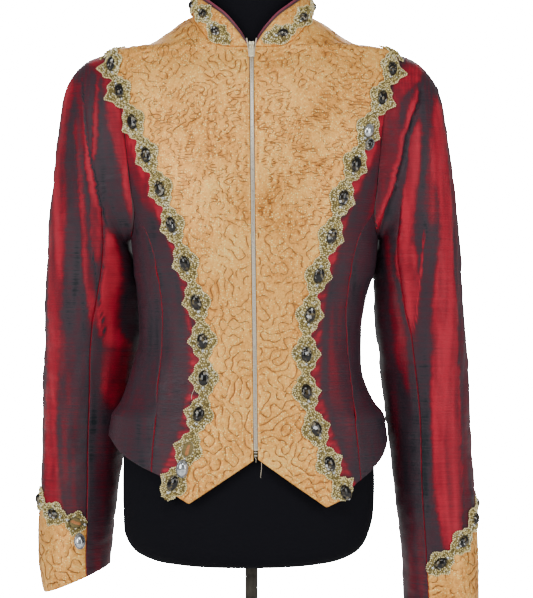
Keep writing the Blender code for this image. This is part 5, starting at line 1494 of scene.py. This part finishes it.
class Strip:
    # A trim's own surface: place along the line and distance across it, on the cloth below
    def __init__(self, tree, line, facings, necks, pointedSide, scale=1.0):
        self.walked, self.line, self.facings = lengthAlong(line), line, facings
        self.necks, self.scale = np.asarray(necks), scale
        self.pointedSide = pointedSide
        self.count = max(8, int((necks[-1] - necks[0]) / trim["step"]))
        self.places = np.linspace(necks[0], necks[-1], self.count)
        self.shares = signedPower(np.linspace(-1, 1, trim["across"]), 0.9)
        reach = self.outline(self.places)
        self.spread = np.where(self.shares > 0, reach[0][:, None], reach[1][:, None]) * self.shares
        plain = self.plain(self.places[:, None], self.spread)
        facing = pick(self.facings, self.places, self.walked)[:, None, :]
        laid = laidOn(tree, plain, facing)
        lift = np.sum((laid - plain) * facing, axis=2)
        lift = np.maximum(smoothedOffsets(lift, 6), lift)
        self.ground = plain + facing * lift[..., None]
        self.normals = gridNormals(self.ground, np.broadcast_to(facing, self.ground.shape))

    def motif(self, places):
        which = np.clip(np.searchsorted(self.necks, places, side="right") - 1, 0, len(self.necks) - 2)
        low, high = self.necks[which], self.necks[which + 1]
        return which, (places - low) / (high - low)

    def outline(self, places):
        share = self.motif(places)[1]
        return [through(trim[key], share) * self.scale * trim["wider"] for key in ("pointed", "rounded")]

    def plain(self, places, across):
        middle, before, beyond = (pick(self.line, places + step, self.walked) for step in (0, -0.004, 0.004))
        facing = pick(self.facings, places, self.walked)
        return middle + unit(np.cross(beyond - before, facing)) * self.pointedSide * across[..., None]

    def at(self, places, across):
        # Ground points and normals at these places, read off the strip's grid
        places, across = np.broadcast_arrays(np.asarray(places, float), np.asarray(across, float))
        row = np.clip((places - self.places[0]) / (self.places[1] - self.places[0]), 0, self.count - 1.001)
        i = row.astype(int)
        t = (row - i)[..., None]
        reach = self.outline(places)
        share = np.clip(across / np.where(across > 0, reach[0], reach[1]), -1, 1)
        column = np.interp(share, self.shares, np.arange(len(self.shares)))
        j = np.clip(column.astype(int), 0, len(self.shares) - 2)
        s = (column - j)[..., None]

        def read(grid):
            low = grid[i, j] * (1 - s) + grid[i, j + 1] * s
            high = grid[i + 1, j] * (1 - s) + grid[i + 1, j + 1] * s
            return low * (1 - t) + high * t

        return read(self.ground), unit(read(self.normals))


def stripHeight(strip, places, across):
    # How high the strip's top stands over the cloth: thin at the edge and crowned at its middle
    reach = strip.outline(places)
    share = np.abs(across) / np.where(across > 0, reach[0], reach[1])
    full = trim["thick"] * np.sqrt(np.clip(1 - share**4, 0.08, 1))
    mid = np.abs(strip.motif(places)[1] - 0.5)
    return trim["lift"] + full + trim["crown"] * bump(mid, 0, trim["crownWide"]) * (1 - share**2)


def domeMesh(centres, normals, radii, around):
    # Many beads at once: a low ring, a high ring and a crown point for each
    helper = np.where(np.abs(normals[:, 2:]) > 0.9, [[1.0, 0, 0]], [[0, 0, 1.0]])
    first = unit(np.cross(helper, normals))
    second = np.cross(normals, first)
    turn, flat = turns(around), np.zeros(around)
    ring = np.stack([np.cos(turn), np.sin(turn), flat], -1)
    bead = np.concatenate([ring - (0, 0, 0.35), ring * 0.78 + (0, 0, 0.62), [(0, 0, 1), (0, 0, -0.75)]])
    points = centres[:, None] + bead @ np.stack([first, second, normals], 1) * radii[:, None, None]
    start = np.arange(len(centres))[:, None, None] * len(bead)
    k = np.arange(around)
    beside = (k + 1) % around
    sidesFaces = np.stack([k, beside, beside + around, k + around], -1)
    crownFaces = np.stack([k + around, beside + around, np.full(around, 2 * around)], -1)
    footFaces = np.stack([beside, k, np.full(around, 2 * around + 1)], -1)
    ends = np.concatenate([crownFaces, footFaces])
    return points.reshape(-1, 3), [(start + sidesFaces).reshape(-1, 4), (start + ends).reshape(-1, 3)]


def stripBeads(strip, pile, seed, clearOf):
    # Seed beads in wavering rows over the strip, left out under the stones
    draw = np.random.RandomState(seed)
    gap = trim["beadGap"]
    places = np.arange(strip.places[0] + 0.001, strip.places[-1] - 0.001, gap * 0.87)
    lanes = np.arange(-0.019, 0.0195, gap)
    place, lane = np.meshgrid(places, lanes, indexing="ij")
    lane = lane + np.where(np.arange(len(places)) % 2, gap / 2, 0)[:, None]
    place, lane = ((k + draw.normal(0, gap * trim["beadStray"], k.shape)).ravel() for k in (place, lane))
    reach = strip.outline(place)
    inside = np.abs(lane) < np.where(lane > 0, *reach) - trim["beadMargin"]
    for at, acrossAt, wide, long in clearOf:
        inside &= ((place - at) / (long + 0.0004)) ** 2 + ((lane - acrossAt) / (wide + 0.0004)) ** 2 > 1
    place, lane = place[inside], lane[inside]
    ground, normals = strip.at(place, lane)
    radii = trim["bead"] * draw.uniform(*trim["beadSizes"], len(place))
    centres = ground + normals * (stripHeight(strip, place, lane) + radii * 0.15)[:, None]
    tilt = unit(normals + draw.normal(0, trim["beadLean"], normals.shape))
    points, faces = domeMesh(centres, tilt, radii, 5)
    tones = np.repeat(np.clip(draw.normal(*trim["beadTones"], len(place)), 0, 1), len(points) // len(place))
    pile.put(points, faces, tones)


def stripEdges(strip, pile):
    # A string of small beads along each edge: a cord that swells and narrows, painted lighter on its swells and darker
    # in its narrows as painted highlight and shade
    for k, sign in ((0, 1), (1, -1)):
        places = np.linspace(strip.places[0], strip.places[-1], int(strip.count * 2.7))
        reach = strip.outline(places)[k]
        ground, normals = strip.at(places, sign * reach * trim["edgeAt"])
        line = ground + normals * (trim["lift"] + trim["edgeLift"])
        swell = 0.5 + 0.5 * np.cos(2 * math.pi * lengthAlong(line) / trim["edgeBead"])
        (thin, more), (dark, light) = trim["cordSwell"], trim["cordShadeAndHighlight"]
        cord = tube(line, trim["cord"] * (thin + more * swell), 5, facing=normals)
        pile.put(*cord, np.repeat(dark + light * swell, 5))


def facetedStone(centre, normal, ahead, wide, long, high, segments=12):
    # An oval cut stone: girdle, crown break and flat table, with the facets in between
    side = unit(np.cross(ahead, normal))

    def ring(scale, height, twist=0.0):
        return centre + oval(turns(segments) + twist, side, ahead, wide * scale, long * scale) + normal * height

    half = math.pi / segments
    points = np.concatenate([
        ring(0.98, -0.25 * high), ring(1.0, 0.12 * high), ring(0.86, 0.58 * high, half), ring(0.56, high),
    ])
    k = np.arange(segments)
    beside = (k + 1) % segments
    quads = np.stack([k, beside, beside + segments, k + segments], -1)
    low = np.concatenate([
        np.stack([k + segments, beside + segments, k + 2 * segments], -1),
        np.stack([beside + segments, beside + 2 * segments, k + 2 * segments], -1),
        np.stack([k + 2 * segments, beside + 3 * segments, k + 3 * segments], -1),
        np.stack([k + 2 * segments, beside + 2 * segments, beside + 3 * segments], -1),
    ])
    caps = [k[None, ::-1], (k + 3 * segments)[None, :]]
    return points, [quads, low, *caps]


# The strips themselves, with their stones
stoneHeights = {
    1: (0.3956, 0.4299, 0.4715, 0.5152, 0.5596, 0.6077, 0.6545, 0.7011, 0.747, 0.7872, 0.8288, 0.8707, 0.908),
    -1: (0.4075, 0.4475, 0.4891, 0.5315, 0.576, 0.6228, 0.6691, 0.715, 0.7575, 0.7984, 0.8396, 0.8793, 0.9146),
}
# Stones that differ, by trim and number from the foot
oddStones = {("front_trim_right", 1): "missing", ("front_trim_left", 10): "clear", ("cuff_trim_right", 0): "missing"}


def stoneRim(seat, normal, ahead, wide, long, rod):
    around = oval(turns(28), unit(np.cross(ahead, normal)), ahead, wide, long)
    return tube(seat + around, rod, 6, closed=True, facing=normal)


def setStones(name, strip, spots):
    # Oval stones in thin settings along the strip, each with one or two small round stones
    wide, long, high = (size * strip.scale for size in trim["stone"])
    piles = {"dark": Pile(), "clear": Pile(), "setting": Pile(), "seat": Pile()}
    draw = np.random.RandomState(len(name) + len(spots))
    for number, spot in enumerate(spots):
        kind = oddStones.get((name, number), "dark")
        ground, normal = (grid[0] for grid in strip.at(np.array([spot]), np.array([0.0])))
        before, beyond = strip.at(np.array([spot - 0.006, spot + 0.006]), np.array([0.0, 0.0]))[0]
        ahead = laidFlat(beyond - before, normal)
        lean = unit(normal + draw.normal(0, trim["stoneLean"], 3))
        seat = ground + normal * (trim["lift"] + trim["thick"] + trim["seatRise"])
        (wider, longer), deep = trim["rimWider"], trim["emptyDeep"]
        piles["setting"].put(*stoneRim(seat, normal, ahead, wide * wider, long * longer, trim["rimRod"]))
        if kind == "missing":
            piles["seat"].put(*facetedStone(seat - normal * 0.0008, normal, ahead, wide * 0.5, long * 0.8, deep))
        else:
            piles[kind].put(*facetedStone(seat, lean, ahead, wide, long, high))
        for end, chance in trim["roundStones"]:
            if draw.uniform() < chance:
                at = np.array([spot + end * (long + trim["roundAside"])])
                ground, up = strip.at(at, np.array([draw.normal(0, trim["roundStray"])]))
                centre = ground[0] + up[0] * (trim["lift"] + trim["thick"] + trim["roundLift"])
                small = trim["smallStone"]
                piles["clear"].put(*facetedStone(centre, up[0], ahead, small, small, small * 0.7, 8))
    looks = {"dark": "darkStone", "clear": "clearStone", "setting": "setting", "seat": "oldGlue"}
    for kind, pile in piles.items():
        if pile.count:
            stones = kind in ("dark", "clear")
            pile.piece(f"{name}_{kind}_stones" if stones else f"{name}_{kind}", looks[kind],
                       sharpAngle=None if stones else 50)


def addStrip(name, strip, spots, seed):
    # The strip as a closed crowned wall, then its beads, edge cords and stones
    places = np.repeat(strip.places[:, None], len(strip.shares), 1)
    top = strip.ground + strip.normals * stripHeight(strip, places, strip.spread)[..., None]
    low = strip.ground + strip.normals * (trim["lift"] * 0.6)
    shell(f"{name}_ground", top, low, "trimGround", replaces=[name])
    wide, long = (size * strip.scale for size in trim["stone"][:2])
    beads = Pile()
    stripBeads(strip, beads, seed, [(spot, 0.0, wide, long) for spot in spots])
    stripEdges(strip, beads)
    beads.piece(f"{name}_bullion", "bullion", sharpAngle=None)
    setStones(name, strip, spots)
    print("trim", name, "with", len(spots), "stones")


def frontTrimLine(side):
    heights = rowsUp(cut["goldHalf"][0][0], cut["goldTopZ"] - 0.0002)
    fine = np.interp(np.linspace(0, 1, 400), np.linspace(0, 1, len(heights)), heights)
    place = toSkin(side, np.stack([through(cut["goldHalf"], fine), fine], -1))
    line = skin(jacket, place[:, 0], place[:, 1])
    facing = skinNormal(jacket, place[:, 0], place[:, 1])
    facing = np.pad(facing, ((12, 12), (0, 0)), mode="edge")
    return line, unit(np.stack([np.convolve(facing[:, k], np.ones(25) / 25, "valid") for k in range(3)], -1))


def addFrontTrim(side, name, tree):
    line, facings = frontTrimLine(side)
    walked = lengthAlong(line)
    stones = np.interp(stoneHeights[side], line[:, 2], walked)
    between = (stones[1:] + stones[:-1]) / 2
    first = max(0.0005, 2 * stones[0] - between[0])
    last = min(walked[-1] - 0.001, 2 * stones[-1] - between[-1])
    # Past the last stone a plain end runs up to the shoulder seam
    necks = [first, *between, last, walked[-1] - 0.005]
    strip = Strip(tree, line, facings, necks if necks[-1] - last > 0.008 else necks[:-1], side)
    addStrip(f"front_trim_{name}", strip, stones, 40 + side)


cuffNecks = {1: (0.0005, 0.039, 0.078, 0.117, 0.156, 1.0), -1: (0.0005, 0.027, 0.064, 0.105, 0.141, 1.0)}


def addCuffTrim(side, name, tree):
    look = sleeve
    angle = np.linspace(frontSeam(side, look["cuffRow"][side]) + 0.5, 359.5 - look["seamAngle"], 240)
    ring = cuffLine(side, angle)
    line, facings = sleeveShape(side, angle, ring), sleeveNormal(side, angle, ring)
    necks = np.minimum(cuffNecks[side], lengthAlong(line)[-1] - 0.0005)
    strip = Strip(tree, line, facings, necks, side, 0.88)
    addStrip(f"cuff_trim_{name}", strip, (necks[1:] + necks[:-1]) / 2, 60 + side)


tree = clothTree(clothPieces)
for side, name in sides:
    addFrontTrim(side, name, tree)
    addCuffTrim(side, name, tree)


# Collar trim, through the places in millimetres where its ends and stones are seen
collarSpots = {1: ((38.6, 958.1), (63.8, 977.2), (75.6, 991.6)), -1: ((-44.5, 960.0), (-59.5, 982.0))}
collarEnds = {1: (14.1, 949.0), -1: (-25.6, 947.5)}


def addCollarTrim():
    over, up = np.linspace(0, 1, 600), np.linspace(0, 1, 61)
    grid, facing = collarGrid(over, up)
    seen = np.stack(sighted(grid), -1) * 1000

    def found(side, spot):
        # The share along the collar and up it where a sight line meets its front
        far = np.linalg.norm(seen - spot, axis=-1) + 1000 * ((over - 0.5) * side > 0)[None, :]
        row, column = np.unravel_index(np.argmin(far), far.shape)
        return over[column], up[row]

    right = [found(1, spot) for spot in (collarEnds[1], *collarSpots[1])]
    left = [found(-1, spot) for spot in (*collarSpots[-1][::-1], collarEnds[-1])]
    path = [*right, (0.42, collar["trimAt"]), (0.58, collar["trimAt"]), *left]
    height = through(path, over) * (len(up) - 1)
    low = np.minimum(height.astype(int), len(up) - 2)
    share, column = (height - low)[:, None], np.arange(len(over))
    line = grid[low, column] * (1 - share) + grid[low + 1, column] * share
    facings = unit(facing[low, column])
    walked = lengthAlong(line)
    near, far = ([np.interp(k, over, walked) for k, _ in rows] for rows in (right, left))
    between = near[-1], far[0]
    more = max(2, round((between[1] - between[0]) / collar["trimPitch"]))
    spots = np.array([*near[1:], *np.linspace(*between, more + 1)[1:-1], *far[:-1]])
    necks = np.array([near[0], *(spots[1:] + spots[:-1]) / 2, far[-1]])
    strip = Strip(clothTree(["collar_lame", "front_centre_left_lame", "front_centre_right_lame"]), line, facings,
                  necks, -1, 0.7)
    addStrip("collar_trim", strip, spots, 80)


addCollarTrim()


# Zip, loose threads and stones that hang off their seats
zipLook = {
    "foot": 0.447, "top": 0.93, "tapeHalf": 0.0022, "cloth": 0.0009, "pitch": 0.0014,
    "tooth": (0.00125, 0.001, 0.0006), "toothAside": 0.00072,
    "stop": (0.0042, 0.008, 0.0018), "stopGap": 0.0043,
    "sliderZ": 0.9325, "sliderLift": 0.001, "slider": (0.0065, 0.009, 0.0025),
    "axleLift": 0.0055, "lean": 8.0, "hoopBend": (-38, 218), "hoopSize": (0.002304, 0.001984), "hoopRod": 0.00072,
    "pull": (0.006, 0.019, 0.0012), "window": (0.0034, 0.0052), "bar": 0.0012, "pullEdge": 0.00028, "pullFace": 0.72,
    # Notches in the pull's sides: depth as a share, height and half-width
    "notches": ((0.13, -0.0125, 0.0009), (0.1, -0.008, 0.0006)), "tapeEnd": 0.00075, "thread": 0.00026,
}


class Local:
    # A frame on the zip's line: x to the wearer's left, y up the zip, z off the cloth
    def __init__(self, z, lift=0.0, lean=0.0):
        x = float(zipX(z))
        angle = float(angleAt(jacket, x, z))
        outward = unit(skinNormal(jacket, angle, z) * (0, 1, 1))
        right = np.array([1.0, 0.0, 0.0])
        up = np.cross(outward, right)
        self.place = skin(jacket, angle, z) + outward * lift
        turn = math.radians(-lean)
        self.axes = np.stack([
            right, up * math.cos(turn) + outward * math.sin(turn), outward * math.cos(turn) - up * math.sin(turn)])

    def __call__(self, points):
        return self.place + np.asarray(points, float) @ self.axes


def roundedSquare(turn, wide, long, powerWide, powerLong):
    # A circle whose cosine and sine are raised to powers, which squares it
    x, y = signedPower(np.cos(turn), powerWide), signedPower(np.sin(turn), powerLong)
    return np.stack([x * wide / 2, y * long / 2], -1)


def roundedBlock(outline, low, high, rounding):
    # A closed block over an outline between two heights, its edges rounded
    outline = np.asarray(outline, float)
    middle = (outline.min(0) + outline.max(0)) / 2
    half = np.maximum((outline.max(0) - outline.min(0)) / 2, 1e-9)
    heights = (low, low, low + rounding, high - rounding, high, high)
    shrink = 1 - np.array([1.0, 0.3, 0.0, 0.0, 0.3, 1.0]) * rounding / half.min()
    points = np.array([
        np.column_stack([middle + (outline - middle) * k, np.full(len(outline), z)]) for k, z in zip(shrink, heights)
    ])
    return points.reshape(-1, 3), ringFaces(*points.shape[:2])


def zipOnCloth(z, aside, lift):
    x = zipX(z) + aside
    angle = angleAt(jacket, x, z)
    return skin(jacket, angle, z) + skinNormal(jacket, angle, z) * np.asarray(lift)[..., None]


def addZipChain():
    # A narrow woven tape with two rows of small interlocking teeth and a cord down their middle
    look = zipLook
    heights = np.linspace(look["foot"], look["top"], 240)[:, None]
    aside = np.linspace(-look["tapeHalf"], look["tapeHalf"], 5)[None, :]
    outer, inner = (zipOnCloth(heights, aside, lift) for lift in (0, -look["cloth"]))
    shell("zip_chain_tape", outer, inner, "zipTape", replaces=["zip_chain"])
    count = int((look["top"] - look["foot"] - 0.004) / look["pitch"])
    box = np.array([[x, y, z] for z in (0, 1) for y in (-0.5, 0.5) for x in (-0.5, 0.5)]) * look["tooth"]
    box[4:, :2] *= 0.8
    quads = np.array([[0, 2, 3, 1], [4, 5, 7, 6], [0, 1, 5, 4], [2, 6, 7, 3], [0, 4, 6, 2], [1, 3, 7, 5]])
    teeth = Pile()
    for sign in (1, -1):
        z = look["foot"] + 0.002 + (np.arange(count) + (0.25 if sign > 0 else 0.75)) * look["pitch"]
        corner = zipOnCloth(z[:, None] + box[:, 1], sign * look["toothAside"] + box[:, 0], 0.0001 + box[:, 2])
        teeth.put(corner, [(np.arange(count)[:, None, None] * 8 + quads).reshape(-1, 4)])
    z = np.linspace(look["foot"] + 0.001, look["top"] - 0.001, 200)
    teeth.put(*tube(zipOnCloth(z, 0, 0.0006), 0.00033, 6))
    teeth.piece("zip_chain_teeth", "zipMetal", sharpAngle=40)


def addZipStop():
    look = zipLook
    wide, long, thick = look["stop"]
    at = Local(look["foot"] - look["stopGap"])
    square = roundedSquare(turns(24), wide, long, 0.35, 0.35)
    points, faces = roundedBlock(square, -thick / 2, thick / 2 - 0.0003, 0.0004)
    makePiece("zip_stop_plate", at(points), faces, "setting", replaces=["zip_stop"], slot="zip_metal")
    bars = Pile()
    for y in (0.0019, -0.0019):
        points, faces = roundedBlock(square * (0.98, 0.17) + (0, y), -thick / 2, thick / 2, 0.0003)
        bars.put(at(points), faces)
    bars.piece("zip_stop_bars", "zipMetal", sharpAngle=40)


def addSlider():
    # A waisted body with two shoulders at the top and a ring for the pull
    look = zipLook
    wide, long, thick = look["slider"]
    outline = np.array([
        (0.34, -0.5), (0.41, -0.44), (0.42, -0.2), (0.44, 0.02), (0.5, 0.22), (0.5, 0.38), (0.43, 0.49),
        (0.2, 0.5), (0.0, 0.42),
    ])
    outline = np.concatenate([outline[:1] * (-1, 1), outline, outline[-2:0:-1] * (-1, 1)]) * (wide, long)
    at = Local(look["sliderZ"], look["sliderLift"])
    body = Pile()
    points, faces = roundedBlock(outline, 0, thick, 0.0005)
    body.put(at(points), faces)
    # The ring is a rod bent over the pull's bar: it starts and ends in the body
    bend = np.radians(np.linspace(*look["hoopBend"], 26))
    long, high = look["hoopSize"]
    hoop = np.stack([0 * bend, long * np.cos(bend), look["axleLift"] - look["sliderLift"] + high * np.sin(bend)], -1)
    hoop = np.concatenate([[[0, hoop[0, 1], thick / 2]], hoop, [[0, hoop[-1, 1], thick / 2]]])
    points, faces = tube(hoop, look["hoopRod"], 10, facing=(1.0, 0.0, 0.0))
    body.put(at(points), faces)
    body.piece("zip_slider_body", "enamel", replaces=["zip_slider"], sharpAngle=40)


def addPull():
    # A long tab, rounded at its foot and notched at both sides, with a window for the slider's ring
    look = zipLook
    wide, long, thick = look["pull"]
    turn = turns(72)
    high, low = look["bar"] / 2, look["bar"] / 2 - long
    middle = (high + low) / 2
    x, y = roundedSquare(turn, wide, long, 0.38, 0.55).T
    y = y + middle
    notches = sum(depth * bump(y, at, wide) for depth, at, wide in look["notches"])
    x = x * (0.86 + 0.14 * smoothStep(0.0, -0.006, y)) * (1 - notches)
    windowMiddle = -look["bar"] / 2 - look["window"][1] / 2
    hole = roundedSquare(turn, *look["window"], 0.45, 0.45) + (0, windowMiddle)
    rim = np.stack([x, y], -1)
    top, soft = thick / 2, look["pullEdge"]
    inner = lambda share: hole + (hole - (0, windowMiddle)) * share / 0.0017
    outer = lambda share: rim + ((0, middle) - rim) * share / 0.003
    face = top * look["pullFace"]
    blend = lambda share: hole * (1 - share) + rim * share
    points = np.array([np.column_stack([flat, np.full(len(turn), height)]) for flat, height in (
        (inner(0), -top + soft), (inner(0), top - soft), (inner(soft), top), (blend(0.35), top), (blend(0.62), face),
        (blend(0.8), face), (outer(soft), top * 0.98), (outer(0), top - soft), (outer(0), -top + soft),
        (outer(soft), -top), (inner(soft), -top),
    )])
    faces = gridFaces(*points.shape[:2], True, True)[:, ::-1]
    at = Local(look["sliderZ"], look["axleLift"], look["lean"])
    makePiece("zip_pull_tab", at(points.reshape(-1, 3)), [faces], "enamel", body=pullBody,
              replaces=["zip_pull"], sharpAngle=40)


def addTapeEnds():
    # The tape's two free ends leave the slider and turn away along the gold edges
    look = zipLook
    ends = Pile()
    for sign in (1, -1):
        share = np.linspace(0, 1, 24)
        z = look["sliderZ"] - 0.014 + 0.0235 * share
        aside = sign * (0.003 + 0.003 * share**1.6)
        ends.put(*tube(zipOnCloth(z, aside, 0.0002 + 0.0007 * share), look["tapeEnd"], 8, flat=0.55))
    ends.piece("zip_tape_ends", "zipTape", sharpAngle=None)


# Loose threads: rows of x, z and distance off the cloth
looseThreads = (
    ((0.0128, 0.433, 0.0006), (0.0128, 0.427, 0.0026), (0.012, 0.42, 0.0034), (0.0117, 0.415, 0.0036)),
    ((0.005, 0.4392, 0.0004), (0.0064, 0.436, 0.0016), (0.0062, 0.433, 0.0022)),
    ((-0.0665, 0.518, 0.003), (-0.068, 0.514, 0.0046), (-0.0692, 0.5105, 0.0046), (-0.0696, 0.506, 0.004)),
)


def addThreads():
    threads = Pile()
    for rows in looseThreads:
        line = curveThrough(rows, 24)
        z = line[:, 1]
        angle = angleAt(jacket, line[:, 0], z)
        place = skin(jacket, angle, z) + skinNormal(jacket, angle, z) * line[:, 2:]
        threads.put(*tube(place, zipLook["thread"], 6))
    threads.piece("loose_threads", "zipTape", sharpAngle=None)


hungLook = {"lift": 0.0034, "rimWider": (1.06, 1.05), "rimRod": 0.00075, "threadRod": 0.0004, "footRod": 0.0022}
# Stones that hang by a thread: name, sighted place in millimetres, lean from upright, sizes, finish
hungStones = (
    ("front", -86, 414, 4, (0.0064, 0.0098, 0.0042), "clearStone"),
    ("cuff", -215, 323, -3, (0.006, 0.0092, 0.004), "clearStone"),
    ("chest", 147, 819, 28, (0.0046, 0.0068, 0.0034), "darkStone"),
)


def addHungStones():
    near = clothTree([*clothPieces, *(k.name for k in bpy.data.objects if k.name.endswith("_ground"))])
    rims, knots = Pile(), Pile()
    for name, across, height, lean, (wide, long, high), look in hungStones:
        # The sight line from in front meets the trim or the cloth here
        eye = Vector((sightX, -sightY, sightZ))
        way = (Vector((across / 1000, 0, height / 1000)) - eye).normalized()
        found, normal = near.ray_cast(eye, way)[:2]
        place = np.array(found)
        normal = np.array([0.15 * np.sign(across), -1.0, 0.05]) if name != "cuff" else np.array(normal)
        normal = unit(normal * (-1 if normal[1] > 0 else 1))
        tilt = math.radians(lean)
        ahead = laidFlat(np.array([math.sin(tilt), 0, math.cos(tilt)]), normal)
        seat = place + normal * hungLook["lift"]
        stone = Pile()
        stone.put(*facetedStone(seat, normal, ahead, wide, long, high))
        stone.piece(f"hung_{name}_stone", look, sharpAngle=None)
        wider, longer = hungLook["rimWider"]
        rims.put(*stoneRim(seat, normal, ahead, wide * wider, long * longer, hungLook["rimRod"]))
        thread = np.linspace(place + ahead * long * 1.5 + normal * 0.001, seat + ahead * long * 1.05, 8)
        knots.put(*tube(thread, hungLook["threadRod"], 6, facing=normal))
        foot = np.linspace(place - normal * 0.0006, seat + normal * 0.0002, 4)
        rims.put(*tube(foot, hungLook["footRod"], 10, facing=ahead))
    rims.piece("hung_stone_settings", "chrome", sharpAngle=50)
    knots.piece("hung_stone_threads", "bullion", sharpAngle=None)


for add in (addZipChain, addZipStop, addSlider, addPull, addTapeEnds, addThreads, addHungStones):
    add()
print("zip, threads and hanging stones ready")


for name, (across, along, area) in cutSheets.items():
    side = "left" if "left" in name else "right"
    print("sheet", name, across, along, area)


# Camera, light and floor
studio = {
    "camera": (0.01875, -2.2, 0.62625), "frameHeight": 0.7475, "floorRadius": 9.0,
    "worldSeen": 40.0, "worldLight": 0.3, "floorSeen": 40.0, "floorLight": 0.3,
    "lights": (
        # name, place, aimed at, width, height, power
        ("key_left", (-2.1, -2.3, 1.5), (0, 0, 0.6), 1.4, 1.8, 50),
        ("key_right", (2.3, -1.9, 1.3), (0, 0, 0.6), 1.4, 1.8, 33),
        ("over_front", (0.0, -2.6, 3.0), (0, 0, 0.7), 1.8, 0.8, 30),
        ("behind", (0.0, 2.8, 2.4), (0, 0, 0.65), 2.2, 1.4, 34),
    ),
}


def addCamera():
    data = bpy.data.cameras.new("camera")
    data.sensor_fit = "VERTICAL"
    data.angle = 2 * math.atan(studio["frameHeight"] / 2 / -studio["camera"][1])
    camera = bpy.data.objects.new("camera", data)
    camera.location = studio["camera"]
    camera.rotation_euler = (math.radians(90), 0, 0)
    bpy.context.scene.collection.objects.link(camera)
    bpy.context.scene.camera = camera


def addStage():
    for name, place, aim, width, height, power in studio["lights"]:
        data = bpy.data.lights.new(name, "AREA")
        data.shape, data.size, data.size_y, data.energy = "RECTANGLE", width, height, power
        lamp = bpy.data.objects.new(name, data)
        lamp.location = place
        lamp.rotation_euler = (Vector(aim) - Vector(place)).to_track_quat("-Z", "Y").to_euler()
        bpy.context.scene.collection.objects.link(lamp)
    world = bpy.data.worlds.new("studio")
    bpy.context.scene.world = world
    world.use_nodes = True
    nodes, links = world.node_tree.nodes, world.node_tree.links
    background = nodes["Background"]
    background.inputs["Color"].default_value = (1, 1, 1, 1)
    seen = nodes.new("ShaderNodeLightPath").outputs["Is Camera Ray"]
    strength = nodes.new("ShaderNodeMapRange")
    strength.inputs["To Min"].default_value = studio["worldLight"]
    strength.inputs["To Max"].default_value = studio["worldSeen"]
    links.new(seen, strength.inputs["Value"])
    links.new(strength.outputs["Result"], background.inputs["Strength"])
    turn = turns(64)
    rim = np.stack([np.cos(turn), np.sin(turn), np.zeros(64)], -1) * studio["floorRadius"]
    mesh = bpy.data.meshes.new("floor")
    mesh.from_pydata((rim - (0, 0, 0.0005)).tolist(), [], [list(range(64))])
    look = Nodes("pale_floor")
    mesh.materials.append(look.done(colour=(0.86, 0.86, 0.86, 1), roughness=0.7))
    look.shader.inputs["Emission Color"].default_value = (1, 1, 1, 1)
    floorSeen = look.add("LightPath").outputs["Is Camera Ray"]
    glow = look.math("MULTIPLY_ADD", floorSeen, studio["floorSeen"] - studio["floorLight"], studio["floorLight"])
    look.fill(look.shader, {"Emission Strength": glow})
    floor = bpy.data.objects.new("floor", mesh)
    bpy.context.scene.collection.objects.link(floor)


addCamera()
addStage()
print("camera, light and floor ready")
